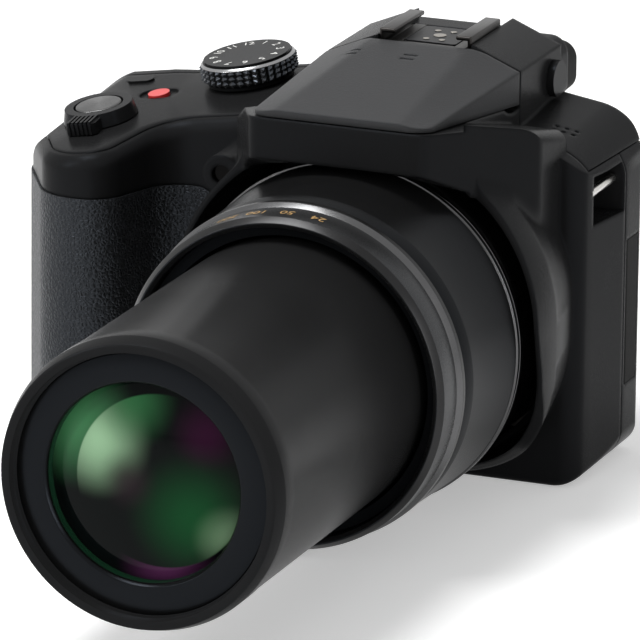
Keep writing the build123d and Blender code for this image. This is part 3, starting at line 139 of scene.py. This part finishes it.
class Finish(Nodes):
    """One material: its shader, and the nodes that feed it."""

    def __init__(self, name, colour, roughness, **constants):
        self.material = bpy.data.materials.new(name)
        self.material.use_nodes = True
        super().__init__(self.material.node_tree)
        self.shader = self.tree.nodes["Principled BSDF"]
        self.place = self.node("ShaderNodeTexCoord", {}, {}, "Object")
        self.set("Base Color", (*colour, 1.0))
        self.set("Roughness", roughness)
        for key, value in constants.items():
            self.set(key.replace("_", " ").title().replace("Ior", "IOR"), value)

    def set(self, name, value):
        self.feed(self.shader.inputs[name], value)

    def noise(self, scale, detail=3.0, place=None, output="Fac"):
        sockets = {"Vector": place or self.place, "Scale": scale, "Detail": detail}
        return self.node("ShaderNodeTexNoise", {}, sockets, output)

    def strokes(self, scales, detail):
        """Noise drawn out into strokes by its own scale along X, Y and Z."""
        drawn = self.node("ShaderNodeMapping", {}, {"Vector": self.place, "Scale": scales})
        return self.noise(1.0, detail, drawn)

    def cells(self, scale, feature="F1", place=None):
        sockets = {"Vector": place or self.place, "Scale": scale}
        return self.node("ShaderNodeTexVoronoi", {"feature": feature}, sockets, "Distance")

    def along(self, axis):
        """Distance along X, Y or Z, in metres."""
        return self.node("ShaderNodeSeparateXYZ", {}, {"Vector": self.place}, axis)

    def blend_colour(self, share, *colours):
        """The first colour at a share of 0, the second at 1."""
        mixed = self.node("ShaderNodeMix", {"data_type": "RGBA"}, {"Factor": share})
        for name, colour in zip(("A_Color", "B_Color"), colours):
            socket = next(end for end in mixed.socket.node.inputs if end.identifier == name)
            self.feed(socket, colour if isinstance(colour, Number) else (*colour, 1.0))
        return Number(self, next(end for end in mixed.socket.node.outputs if end.identifier == "Result_Color"))

    def relief(self, height, distance, strength, edge=0.0):
        """Bumps of a height in metres, with the sharp edges rounded by edge."""
        sockets = {"Height": height, "Distance": distance, "Strength": strength}
        if edge:
            sockets["Normal"] = self.node("ShaderNodeBevel", {"samples": 4}, {"Radius": edge})
        self.set("Normal", self.node("ShaderNodeBump", {}, sockets))


# ---- finishes ----

COOL = (0.72, 0.83, 1.0, 1.0)  # tint of the light that the black plastics and paints throw back


def tone(shade, *shares):
    """Colour of a shade, with one share of it for all of red, green and blue, or a share for each."""
    return tuple(shade * share for share in (shares if len(shares) == 3 else shares * 3))


def moulded(name, shade, roughness, grain, edge, specular):
    """Spark-eroded moulded plastic: fine even grain, slightly uneven sheen."""
    finish = Finish(name, tone(shade, 1.0), roughness, specular_ior_level=specular, specular_tint=COOL)
    cloud = finish.noise(60.0, 2.0)
    grain_fine = finish.noise(5200.0, 2.0)
    grain_wide = finish.cells(2600.0)
    ground = finish.blend_colour(cloud, tone(shade, 0.86, 0.87, 0.9), tone(shade, 1.12, 1.13, 1.16))
    finish.set("Base Color", finish.blend_colour(grain_fine * 0.35, ground, tone(shade, 1.9, 1.92, 2.0)))
    finish.set("Roughness", roughness - 0.05 + cloud * 0.06 + grain_fine * 0.08)
    finish.relief(grain_fine * 0.6 + grain_wide * 0.7, 0.04 * MM, grain, edge)
    return finish.material


def satin_paint(name, shade, roughness, turned, specular):
    """Baked satin paint on a turned barrel, with the faint rings of the lathe."""
    finish = Finish(name, tone(shade, 1.0), roughness, specular_ior_level=specular, specular_tint=COOL)
    cloud = finish.noise(45.0, 2.0)
    speck = finish.noise(3800.0, 2.0)
    rings = finish.strokes((60, 9000, 60), 2.0)
    ground = finish.blend_colour(cloud, tone(shade, 0.85, 0.86, 0.88), tone(shade, 1.18, 1.18, 1.2))
    finish.set("Base Color", ground)
    finish.set("Roughness", roughness - 0.04 + cloud * 0.05 + speck * 0.06)
    finish.relief(speck + rings * turned, 0.02 * MM, 0.5, 0.15 * MM)
    return finish.material


def grained_rubber(name, shade):
    """Rubber skin with a leather grain: soft pebbles parted by creases, with painted shade in the creases."""
    finish = Finish(name, tone(shade, 1.0), 0.42, specular_ior_level=0.26, specular_tint=COOL)
    per_metre = 1150.0
    wander = finish.noise(500.0, 2.0)
    sway = finish.noise(700.0, 2.0, output="Color")
    bent = finish.vector("MULTIPLY_ADD", sway, (0.9 * MM,) * 3, finish.place)
    pebble = finish.cells(per_metre, "SMOOTH_F1", bent)
    crease = finish.cells(per_metre, "DISTANCE_TO_EDGE", bent).between(0.0, 0.3)
    fine = finish.noise(6000.0, 2.0)
    # painted shade: the creases are darker and the pebbles lighter
    finish.set("Base Color", finish.blend_colour(crease, tone(shade, 0.8), tone(shade, 1.08, 1.09, 1.11)))
    finish.set("Roughness", 0.46 - crease * 0.1 + wander * 0.05)
    finish.relief(crease * 0.6 + (1.0 - pebble) * 0.7 + fine * 0.1, 0.2 * MM, 1.0, 0.2 * MM)
    return finish.material


def soft_rubber(name, shade):
    """Plain soft rubber with a dusty bloom."""
    finish = Finish(name, tone(shade, 1.0), 0.75, specular_ior_level=0.14)
    dust = finish.noise(900.0, 4.0)
    finish.set("Base Color", finish.blend_colour(dust, tone(shade, 0.8), tone(shade, 1.3)))
    finish.set("Roughness", 0.66 + dust * 0.16)
    finish.relief(dust + finish.noise(4200.0, 2.0) * 0.5, 0.04 * MM, 0.6, 0.3 * MM)
    return finish.material


def brushed(name, shade, roughness, scales=(60, 9000, 9000), tint=(1.0, 0.98, 0.94)):
    """Bare metal brushed along the axis whose scale is small."""
    finish = Finish(name, tone(shade, *tint), roughness, metallic=1.0)
    strokes = finish.strokes(scales, 3.0)
    cloud = finish.noise(140.0, 2.0)
    worn = strokes * 0.6 + cloud * 0.4
    finish.set("Base Color", finish.blend_colour(worn, tone(shade * 0.72, *tint), tone(shade * 1.15, *tint)))
    finish.set("Roughness", roughness - 0.08 + strokes * 0.16 + cloud * 0.04)
    finish.relief(strokes, 0.01 * MM, 0.5, 0.12 * MM)
    return finish.material


def turned_metal(name, shade, roughness, centre, normal):
    """Button face turned on a lathe: fine rings round its axis."""
    finish = Finish(name, tone(shade, 1.0, 1.0, 1.03), roughness, metallic=1.0, anisotropic=0.85)
    across = finish.vector("CROSS_PRODUCT", finish.vector("SUBTRACT", finish.place, centre), normal)
    radius = finish.vector("LENGTH", across, output="Value")
    rings = (radius * 26000.0).math("SINE") * 0.5 + 0.5
    grit = finish.noise(2500.0, 3.0)
    finish.set("Base Color", finish.blend_colour(rings * 0.7 + grit * 0.3, tone(shade, 0.7), tone(shade, 1.3)))
    finish.set("Roughness", roughness - 0.05 + rings * 0.08 + grit * 0.06)
    finish.relief(rings + grit * 0.1, 0.008 * MM, 0.6, 0.15 * MM)
    return finish.material


def gloss(name, colour, roughness, coat):
    """Clear-coated plastic or glass over a dark ground."""
    finish = Finish(name, colour, roughness, coat_weight=coat, coat_roughness=0.03)
    smear = finish.noise(35.0, 3.0)
    duller, brighter = (tuple(part * share for part in colour) for share in (0.8, 1.15))
    finish.set("Base Color", finish.blend_colour(smear, duller, brighter))
    finish.set("Roughness", roughness + smear * 0.05)
    finish.relief(smear, 0.02 * MM, 0.15, 0.2 * MM)
    return finish.material


def coated_glass(name, colour, film, clear=0.0):
    """Lens glass whose coating, a film of so many nanometres, tints what it reflects."""
    finish = Finish(
        name, colour, 0.02,
        transmission_weight=clear, specular_ior_level=0.9, thin_film_thickness=film, thin_film_ior=1.42,
    )
    finish.set("Roughness", 0.015 + finish.noise(25.0, 2.0) * 0.02)
    return finish.material


GLASS_RADIUS = 21.5 * MM
GLASS_DARK = (0.002, 0.003, 0.003)
INNER_GLASS = (0.15, 0.02, 0.82)  # the lens behind the front one, in shares of the radius: across, up, reach
# painted reflections and a painted highlight of the coatings, seen on the lens behind the front one
INNER_PAINTED_REFLECTIONS = (  # place over the glass and reach in shares of its radius, colour and weight
    (-0.5, 0.38, 0.62, (0.3, 0.5, 0.3), 0.95),
    (-0.15, 0.78, 0.5, (0.03, 0.14, 0.05), 0.8),
    (0.5, -0.3, 0.72, (0.004, 0.055, 0.015), 0.95),
    (0.85, -0.5, 0.42, (0.18, 0.3, 0.17), 0.85),
    (0.62, 0.55, 0.42, (0.03, 0.004, 0.022), 0.9),
    (-0.15, 0.02, 0.34, (0.02, 0.012, 0.016), 0.8),
)
# painted reflections of the coatings on the front glass, round the lens behind
OUTER_PAINTED_REFLECTIONS = (
    (-0.8, 0.55, 0.75, (0.06, 0.22, 0.09), 0.95),
    (0.25, -0.95, 0.6, (0.08, 0.02, 0.07), 0.9),
    (0.8, 0.7, 0.5, (0.05, 0.008, 0.04), 0.8),
)


def painted_reflection_glass(name):
    """Front glass: painted reflections of its coatings, green and magenta, and a painted highlight, over a
    dark middle.
    """
    finish = Finish(name, (0.003, 0.004, 0.004), 0.03, specular_ior_level=0.05)
    flat = finish.vector("MULTIPLY", finish.place, (1.0, 0.0, 1.0))

    def gap_to(across, up):
        centre = (across * GLASS_RADIUS, 0.0, LENS_HEIGHT * MM + up * GLASS_RADIUS)
        return finish.vector("DISTANCE", flat, centre, output="Value")

    layers = []
    # each painted reflection blends its colour over the dark ground near its place
    for painted_reflections in (INNER_PAINTED_REFLECTIONS, OUTER_PAINTED_REFLECTIONS):
        colour = GLASS_DARK
        for across, up, reach, tint, weight in painted_reflections:
            share = gap_to(across, up).between(reach * GLASS_RADIUS, 0.0) * weight
            colour = finish.blend_colour(share, colour, tint)
        layers.append(colour)
    across, up, reach = INNER_GLASS
    outside = gap_to(across, up).between(reach * GLASS_RADIUS, (reach + 0.02) * GLASS_RADIUS)
    finish.set("Base Color", finish.blend_colour(outside, *layers))
    finish.set("Roughness", 0.02 + finish.noise(25.0, 2.0) * 0.03)
    return finish.material


def circuit(name):
    """Green board with copper pads."""
    finish = Finish(name, (0.02, 0.09, 0.04), 0.35)
    pads = finish.cells(520.0).between(0.28, 0.2)
    tracks = finish.cells(260.0, "DISTANCE_TO_EDGE").between(0.02, 0.05)
    board = finish.blend_colour(tracks, (0.04, 0.16, 0.07), (0.015, 0.07, 0.03))
    finish.set("Base Color", finish.blend_colour(pads, board, (0.6, 0.42, 0.2)))
    finish.set("Metallic", pads * 0.8)
    finish.relief(pads + tracks, 0.05 * MM, 0.5)
    return finish.material


def contact_block(name, top):
    """Black insulating block whose raised discs are bare metal above a height in millimetres."""
    finish = Finish(name, (0.01, 0.01, 0.01), 0.35, specular_ior_level=0.1)
    metal = finish.along("Z").between((top - 0.02) * MM, top * MM)
    grit = finish.noise(3000.0, 2.0)
    finish.set("Base Color", finish.blend_colour(metal, (0.01, 0.01, 0.011), (0.3, 0.28, 0.25)))
    finish.set("Metallic", metal)
    finish.set("Roughness", 0.3 + grit * 0.12)
    finish.relief(grit, 0.01 * MM, 0.5, 0.1 * MM)
    return finish.material


def smoked_window(name, colour):
    """Dark window of the lamp beside the lens."""
    finish = Finish(name, colour, 0.12, specular_ior_level=0.04)
    finish.set("Roughness", 0.1 + finish.noise(60.0) * 0.05)
    return finish.material


def ink(name, colour, roughness):
    """Printed ink with a faint grain."""
    finish = Finish(name, colour, roughness)
    finish.relief(finish.noise(4000.0), 0.01 * MM, 0.4)
    return finish.material


BLACK = moulded("casing_plastic", 0.0095, 0.24, grain=0.45, edge=1.2 * MM, specular=0.026)
PANEL = moulded("flash_panel_plastic", 0.034, 0.3, grain=0.9, edge=1.4 * MM, specular=0.022)
TRIM = moulded("control_plastic", 0.009, 0.22, grain=0.5, edge=0.2 * MM, specular=0.04)
CONTACTS = contact_block("contact_block", 91.6)
KEYS = moulded("key_plastic", 0.02, 0.28, grain=0.4, edge=0.3 * MM, specular=0.16)
STUDS = moulded("stud_plastic", 0.03, 0.26, grain=0.2, edge=0.06 * MM, specular=0.5)
INNER = moulded("inner_plastic", 0.003, 0.6, grain=0.6, edge=0.2 * MM, specular=0.08)
BARREL = satin_paint("barrel_paint", 0.006, 0.24, turned=0.4, specular=0.08)
TUBE = satin_paint("tube_paint", 0.013, 0.24, turned=0.8, specular=0.024)
RING = satin_paint("ring_paint", 0.012, 0.26, turned=0.5, specular=0.14)
PLATE = satin_paint("name_plate_paint", 0.004, 0.24, turned=0.0, specular=0.1)
BRIGHT = brushed("chamfer_metal", 0.028, 0.28, (9000, 60, 9000), (1.0, 1.0, 1.02))
GLINT = brushed("polished_chamfer", 0.1, 0.2, (9000, 60, 9000), (1.0, 1.0, 1.02))
BEVEL = brushed("polished_bevel", 0.3, 0.22, (9000, 9000, 60), (1.0, 1.0, 1.02))
GRIP = grained_rubber("grip_skin", 0.012)
SOFT = soft_rubber("soft_rubber", 0.006)
STEEL = brushed("bare_steel", 0.5, 0.34)
LUG = brushed("lug_steel", 0.62, 0.22, (9000, 80, 9000))
SHOE = brushed("shoe_metal", 0.03, 0.3, (9000, 90, 9000), (1.0, 0.94, 0.9))
SPRING = brushed("spring_steel", 0.06, 0.42, (9000, 90, 9000))
RED = gloss("record_red", (0.62, 0.03, 0.03), 0.3, coat=0.1)
SCREEN = gloss("screen_glass", (0.006, 0.006, 0.0075), 0.05, coat=1.0)
BOARD = circuit("circuit_board")
SLEEVE = moulded("shrink_sleeve", 0.05, 0.4, grain=0.3, edge=0.25 * MM, specular=0.4)
MIRROR = brushed("reflector", 0.8, 0.14, (200, 9000, 9000), (1.0, 1.0, 1.0))
CLEAR = coated_glass("flash_window_glass", (0.8, 0.82, 0.84), film=0.0, clear=0.6)
FRONT_GLASS = painted_reflection_glass("front_glass")
DEEP_GLASS = coated_glass("deep_glass", (0.012, 0.002, 0.01), film=300.0)
# its green is a painted reflection of the coating, on the seat round the front glass
RIM_GLASS = coated_glass("rim_glass", (0.006, 0.03, 0.014), film=0.0)
LAMP = smoked_window("lamp_glass", (0.002, 0.0015, 0.0015))
INK = ink("white_ink", (0.72, 0.72, 0.7), 0.5)
GOLD_INK = ink("gold_ink", (0.42, 0.26, 0.1), 0.42)

EDGE_METALS = (BRIGHT, GLINT, BEVEL)  # what the polished bands of a turned piece may wear

# ---- meshes ----


def finished(work):
    """Mesh of a bmesh, which is freed."""
    mesh = bpy.data.meshes.new("piece")
    work.to_mesh(mesh)
    work.free()
    return mesh


def worked_out(holder):
    """Plain mesh of an object, with its curve or modifier worked out; the object goes."""
    bpy.context.scene.collection.objects.link(holder)
    bpy.context.view_layer.update()
    mesh = bpy.data.meshes.new_from_object(holder.evaluated_get(bpy.context.evaluated_depsgraph_get()))
    bpy.data.objects.remove(holder)
    return mesh


def settle(name, mesh, body, finish, replaced=()):
    """Object of a finished mesh that rides on a body."""
    mesh.name = name
    made = bpy.data.objects.new(name, mesh)
    bpy.context.scene.collection.objects.link(made)
    if mesh.materials:  # clearing an empty list would also forget which faces are bands
        mesh.materials.clear()
    mesh.materials.append(finish)
    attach(made, body)
    if replaced:
        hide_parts(*replaced)


def sharpen(work, angle):
    """Smooth faces that meet in a sharp edge where they turn by more than the angle."""
    for face in work.faces:
        face.smooth = True
    for edge in work.edges:
        edge.smooth = len(edge.link_faces) == 2 and edge.calc_face_angle(0.0) < radians(angle)


def dress(finish, *nodes, angle=CRISP, round_off=0.0):
    """Merged, smooth-shaded copies of CAD nodes in a finish; round_off rounds the sharp edges of boxy ones."""
    for node in nodes:
        source = frame["nodes"][node]
        work = bmesh.new()
        work.from_mesh(source.data)
        bmesh.ops.remove_doubles(work, verts=work.verts, dist=0.002 * MM)
        if round_off:
            bmesh.ops.dissolve_limit(work, angle_limit=radians(2.0), verts=work.verts, edges=work.edges)
            sharp = [e for e in work.edges if e.is_convex and e.calc_face_angle(0.0) > radians(60.0)]
            bmesh.ops.bevel(
                work, geom=sharp, offset=round_off, segments=4, profile=0.5, affect="EDGES", clamp_overlap=True
            )
        sharpen(work, angle)
        settle(node + "_dressed", finished(work), source["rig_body"], finish, [node])


def soften(points, radius):
    """Profile whose corners are each cut by two small chamfers, so that every corner becomes three."""
    out = []
    for i, here in enumerate(points):
        before, after = points[i - 1], points[(i + 1) % len(points)]
        legs = []
        for other in (before, after):
            gap = hypot(other[0] - here[0], other[1] - here[1])
            share = min(radius / gap, 0.4)
            legs.append((here[0] + (other[0] - here[0]) * share, here[1] + (other[1] - here[1]) * share))
        middle = tuple(0.3 * (legs[0][k] + legs[1][k]) + 0.4 * here[k] for k in range(2))
        out += [legs[0], middle, legs[1]]
    return out


def lathe(name, profile, body, finish, replaced=(), steps=192, angle=CRISP, spun=LENS_AXIS, bands=()):
    """Closed turned ring: a profile of (place along the axis, radius) in millimetres, spun round the axis.

    bands lists the polished edges, each as its metal and its edges, counted on the profile as given.
    """
    origin, across, axis, upward = spun
    banded = {k: EDGE_METALS.index(metal) + 1 for metal, edges in bands for k in edges}
    work = bmesh.new()
    rings = []
    for i in range(steps):
        out = across * sin(2 * pi * i / steps) + upward * cos(2 * pi * i / steps)
        rings.append([work.verts.new(origin + (axis * place + out * r) * MM) for place, r in profile])
    for i in range(steps):
        here, there = rings[i], rings[(i + 1) % steps]
        for k in range(len(profile)):
            m = (k + 1) % len(profile)
            work.faces.new((here[k], here[m], there[m], there[k])).material_index = banded.get(k, 0)
    bmesh.ops.remove_doubles(work, verts=work.verts, dist=0.0005 * MM)
    bmesh.ops.recalc_face_normals(work, faces=work.faces)
    sharpen(work, angle)
    mesh = finished(work)
    settle(name, mesh, body, finish, replaced)
    if bands:
        for metal in EDGE_METALS:
            mesh.materials.append(metal)


def words(text, size, place, turn, depth=0.02):
    """Mesh of a plain figure, set at a place with its turn; its size and depth are in millimetres."""
    curve = bpy.data.curves.new("figure", "FONT")
    curve.body = text
    curve.size = size * MM
    curve.align_x = "CENTER"
    curve.align_y = "CENTER"
    curve.extrude = depth * MM
    mesh = worked_out(bpy.data.objects.new("figure", curve))
    mesh.transform(Matrix.Translation(place) @ turn.to_4x4())
    return mesh


def joined(meshes):
    """One mesh of several."""
    work = bmesh.new()
    for mesh in meshes:
        work.from_mesh(mesh)
    return finished(work)


def studs(radius, low, pitch, count, rows):
    """Small pyramids in rows round the mode dial, made by Geometry Nodes, in millimetres."""
    tree = bpy.data.node_groups.new("dial_studs", "GeometryNodeTree")
    tree.interface.new_socket("Geometry", in_out="OUTPUT", socket_type="NodeSocketGeometry")
    chosen = {}
    for name, kind, value in (
        ("Radius", "Float", radius * MM),
        ("Pitch", "Float", pitch * MM),
        ("Stud", "Float", 0.84 * MM),
        ("Rise", "Float", 0.62 * MM),
        ("Count", "Int", count),
        ("Rows", "Int", rows),
        ("Finish", "Material", STUDS),
    ):
        socket = tree.interface.new_socket(name, in_out="INPUT", socket_type="NodeSocket" + kind)
        chosen[socket.identifier] = value
    nodes = Nodes(tree)
    given = {socket.name: Number(nodes, socket) for socket in tree.nodes.new("NodeGroupInput").outputs}

    hoop = nodes.node("GeometryNodeMeshCircle", {}, {"Vertices": given["Count"], "Radius": given["Radius"]})
    step = nodes.node("ShaderNodeCombineXYZ", {}, {"Z": given["Pitch"]})
    line = nodes.node("GeometryNodeMeshLine", {"mode": "OFFSET"}, {"Count": given["Rows"], "Offset": step})
    hoops = nodes.node("GeometryNodeInstanceOnPoints", {}, {"Points": line, "Instance": hoop})
    band = nodes.node("GeometryNodeRealizeInstances", {}, {"Geometry": hoops})
    place = nodes.node("GeometryNodeInputPosition", {}, {})
    outward = nodes.vector("MULTIPLY", place, (1.0, 1.0, 0.0))
    turned = nodes.node(
        "FunctionNodeAlignRotationToVector", {"axis": "Z", "pivot_axis": "AUTO"}, {"Vector": outward}
    )
    spike = nodes.node(
        "GeometryNodeMeshCone", {}, {"Vertices": 4, "Radius Bottom": given["Stud"], "Depth": given["Rise"]}
    )
    spikes = nodes.node(
        "GeometryNodeInstanceOnPoints", {}, {"Points": band, "Instance": spike, "Rotation": turned}
    )
    whole = nodes.node("GeometryNodeRealizeInstances", {}, {"Geometry": spikes})
    dressed = nodes.node("GeometryNodeSetMaterial", {}, {"Geometry": whole, "Material": given["Finish"]})
    nodes.feed(tree.nodes.new("NodeGroupOutput").inputs[0], dressed)

    holder = bpy.data.objects.new("studs", bpy.data.meshes.new("studs"))
    modifier = holder.modifiers.new("studs", "NODES")
    modifier.node_group = tree
    for identifier, value in chosen.items():
        modifier[identifier] = value
    mesh = worked_out(holder)
    origin, across, axis, backward = MODE_AXIS
    turn = Matrix((across, backward, axis)).transposed()
    mesh.transform(Matrix.Translation(origin + axis * low * MM) @ turn.to_4x4())
    return mesh


# ---- casing ----

dress(BLACK, "front_shell", "rear_cover", "top_cover", "base_plate", "battery_door")
dress(PANEL, "flash_cover")
dress(GRIP, "grip_rubber", "thumb_rest", angle=ROUNDED)
dress(SOFT, "eyecup", "terminal_door", angle=ROUNDED)
dress(TRIM, "zoom_lever", "power_switch", "burst_button", "diopter_dial", "mode_dial_cap")
dress(KEYS, "rear_dial", "cursor_pad", "set_button", "playback_button", "menu_button", "lock_button",
      "viewfinder_button")
dress(INNER, "door_latch", "battery_box", "viewfinder_unit", "screen_panel")
dress(SLEEVE, "battery", "memory_card", "flash_capacitor")
dress(STEEL, "chassis", "tripod_socket", "case_screws", "flash_hinge_pin", "zoom_motor", "terminal_jacks",
      "guide_rods")
dress(LUG, "strap_lugs", angle=ROUNDED)
dress(SHOE, "hot_shoe", angle=ROUNDED, round_off=0.4 * MM)
dress(SPRING, "shoe_spring")
dress(CONTACTS, "shoe_contacts")
dress(RED, "movie_button")
dress(SCREEN, "screen_glass")
dress(BOARD, "main_board", "image_sensor")
dress(MIRROR, "flash_reflector")
dress(CLEAR, "flash_window")
dress(CLEAR, "flash_tube", angle=ROUNDED)
dress(DEEP_GLASS, "eyepiece_lens")
dress(LAMP, "af_lamp", angle=ROUNDED)
dress(DEEP_GLASS, "zoom_group", "focus_group", angle=ROUNDED)
dress(INNER, "aperture_unit", "cam_barrel", angle=ROUNDED)

shutter_centre = Vector((-72.7, -12.4, 68.72)) * MM
shutter_up = Vector((-0.16, -0.12, 1.0)).normalized()
dress(turned_metal("shutter_metal", 0.08, 0.24, shutter_centre, shutter_up), "shutter_button", angle=ROUNDED)

# ---- lens: places along its axis and radii, in millimetres; the front is towards minus ----

lathe("fixed_barrel_turned", soften([
    (-76.5, 33.6), (-76.5, 35.4), (-75.5, 35.4), (-75.5, 35.6), (-72.0, 36.4), (-49.0, 37.2),
    (-49.0, 37.6), (-48.1, 37.6), (-48.0, 37.35), (-47.6, 37.35), (-47.5, 37.6), (-46.5, 37.6),  # two ridges
    (-46.5, 36.8), (-44.0, 36.8), (-40.0, 35.6), (-5.5, 35.6), (-5.5, 27.0), (0.0, 27.0),
    (0.0, 15.0), (-5.5, 15.0), (-5.5, 25.0), (-9.0, 25.0), (-9.0, 33.6),
], 0.12), "body", BARREL, ["fixed_barrel"], bands=[(GLINT, (*range(15, 22), *range(30, 34)))])
lathe("barrel_ring_turned", soften([
    (-87.3, 33.4), (-88.0, 34.2), (-88.0, 34.5), (-86.6, 35.6), (-86.4, 35.6), (-79.9, 35.75),
    (-79.8, 35.65), (-78.6, 36.5), (-78.4, 36.55), (-77.2, 36.6), (-76.5, 35.6), (-76.5, 33.4),
], 0.06), "body", RING, ["barrel_ring"], angle=14.0,
    bands=[(BRIGHT, (7, 8, 9, 26)), (GLINT, range(19, 24))])

thread_pitch = 0.7
thread = []  # of the filter, from the front inwards
for k in range(3):
    foot = -163.0 + thread_pitch * k
    thread += [(foot, 27.5), (foot + thread_pitch / 2, 27.85)]
lathe("zoom_barrel_turned", soften([
    (-163.3, 27.6), (-163.3, 29.0), (-163.1, 29.4), (-160.0, 30.4), (-155.0, 30.4), (-154.9, 30.2),
    (-81.3, 30.2), (-81.3, 28.4), (-150.0, 28.4), (-150.0, 19.5), (-152.0, 19.5), (-152.0, 21.55),
    (-159.4, 21.55), (-159.4, 27.0), (-160.8, 27.0), (-160.9, 27.5), *thread[::-1],
], 0.08), "tube", TUBE, ["zoom_barrel"])
lathe("name_ring_turned", soften([
    (-160.8, 21.2), (-160.8, 26.9), (-159.4, 26.9), (-159.4, 20.7), (-160.1, 20.7),
], 0.1), "tube", PLATE, ["name_ring"])

glass_front, glass_back, glass_radius = -160.7, -152.0, 21.5
glass_curve = 70.0  # radius of the ball that the front of the glass is part of
dome = []
for k in range(25):
    radius = glass_radius * k / 24
    dome.append((glass_front + glass_curve - sqrt(glass_curve**2 - radius**2), max(radius, 0.001)))
dome += [(glass_back, glass_radius), (glass_back, 0.001)]
lathe("front_element_ground", dome, "tube", FRONT_GLASS, ["front_element"], steps=128, angle=ROUNDED)
lathe("glass_seat", [(-159.3, 21.5), (-159.3, 21.2), (-157.6, 20.6), (-157.2, 20.6), (-157.2, 21.5)],
      "tube", RIM_GLASS)

# ---- mode dial and figures ----

lathe("mode_dial_turned", soften([
    (1.1, 3.1), (1.1, 9.9), (1.5, 10.2), (4.7, 10.2), (4.85, 10.45), (5.38, 9.85), (5.3, 3.1),
], 0.06), "mode", TRIM, ["mode_dial"], spun=MODE_AXIS, bands=[(BEVEL, (12, 13, 14))], steps=144)
settle("mode_dial_studs", studs(radius=10.2, low=1.95, pitch=1.15, count=36, rows=3), "mode", STUDS)

dial_face, dial_figure_radius, dial_figure_size = 5.93, 7.2, 2.7
marks = []
for i in range(12):
    turn = 2 * pi * i / 12 + 0.2
    out = DECK_SIDE * sin(turn) + DECK_BACK * cos(turn)
    place = MODE_CENTRE + DECK_UP * dial_face * MM + out * dial_figure_radius * MM
    basis = Matrix((-DECK_UP.cross(out), out, DECK_UP)).transposed()
    marks.append(words(str(i + 1), dial_figure_size, place, basis))
settle("mode_dial_figures", joined(marks), "mode", INK)

ring_figure_radius, ring_figure_place = 35.72, -83.3
scale = []
for i, figure in enumerate(("24", "50", "100", "200")):
    mesh = words(figure, 3.2, Vector((0.0, 0.0, 0.0)), Matrix.Identity(3), depth=0.015)
    for vertex in mesh.vertices:  # bent round the ring
        x, y, z = vertex.co
        turn = radians(-10.0 + 11.0 * i) + x / (ring_figure_radius * MM)
        radius = ring_figure_radius * MM + z
        vertex.co = (-radius * sin(turn), ring_figure_place * MM - y, LENS_HEIGHT * MM + radius * cos(turn))
    scale.append(mesh)
settle("ring_figures", joined(scale), "body", GOLD_INK)

# ---- stage, light and camera ----


def softbox(name, place, target, width, height, power):
    """Rectangular lamp that faces a target, in metres and watts."""
    data = bpy.data.lights.new(name, "AREA")
    data.shape = "RECTANGLE"
    data.size = width
    data.size_y = height
    data.energy = power
    lamp = bpy.data.objects.new(name, data)
    lamp.location = place
    lamp.rotation_euler = (Vector(target) - Vector(place)).to_track_quat("-Z", "Y").to_euler()
    bpy.context.scene.collection.objects.link(lamp)


softbox("top_box", (-0.3, -0.22, 0.93), (0.0, -0.05, 0.05), 0.42, 0.42, 8.5)
softbox("left_box", (-0.85, -0.8, 0.6), (0.0, -0.08, 0.05), 0.2, 0.5, 5.0)
softbox("right_strip", (0.95, -0.47, 0.26), (0.0, -0.08, 0.05), 0.09, 0.6, 3.2)

floor_reach = 3.0
floor_glow = 0.35  # what the paper adds where it is seen, so that it shows white and keeps the shadow
corners = [(x * floor_reach, y * floor_reach, 0) for x, y in ((-1, -1), (1, -1), (1, 1), (-1, 1))]
floor_mesh = bpy.data.meshes.new("floor")
floor_mesh.from_pydata(corners, [], [(0, 1, 2, 3)])
floor = bpy.data.objects.new("floor", floor_mesh)
bpy.context.scene.collection.objects.link(floor)
paper = Finish("floor_paper", (0.93, 0.93, 0.93), 0.9, specular_ior_level=0.1)
paper.set("Emission Color", (1.0, 1.0, 1.0, 1.0))
paper.set("Emission Strength", paper.seen() * floor_glow)
floor_mesh.materials.append(paper.material)

sky_light = 0.35  # strength of the white world as a light; where it is seen, it is 1
world = bpy.data.worlds.new("studio")
bpy.context.scene.world = world
world.use_nodes = True
sky = Nodes(world.node_tree)
background = world.node_tree.nodes["Background"]
sky.feed(background.inputs["Color"], (1.0, 1.0, 1.0, 1.0))
sky.feed(background.inputs["Strength"], sky_light + sky.seen() * (1.0 - sky_light))

azimuth, elevation, roll = radians(21.61), radians(16.61), radians(0.62)
away = Vector((sin(azimuth) * cos(elevation), -cos(azimuth) * cos(elevation), sin(elevation)))
right = Vector((cos(azimuth), sin(azimuth), 0.0))
up = away.cross(right)
turned_right = right * cos(roll) + up * sin(roll)
turned_up = up * cos(roll) - right * sin(roll)
target = Vector((8.62, -88.0, 53.6)) * MM
distance = 1.637
camera_data = bpy.data.cameras.new("photo_camera")
camera_data.lens = 450.0
camera_data.sensor_width = 36.0
camera_data.clip_start = 0.05
camera_data.clip_end = 30.0
camera = bpy.data.objects.new("photo_camera", camera_data)
aim = Matrix((turned_right, turned_up, away)).transposed().to_4x4()
camera.matrix_world = Matrix.Translation(target + away * distance) @ aim
bpy.context.scene.collection.objects.link(camera)
bpy.context.scene.camera = camera
bpy.context.scene.view_settings.view_transform = "Standard"
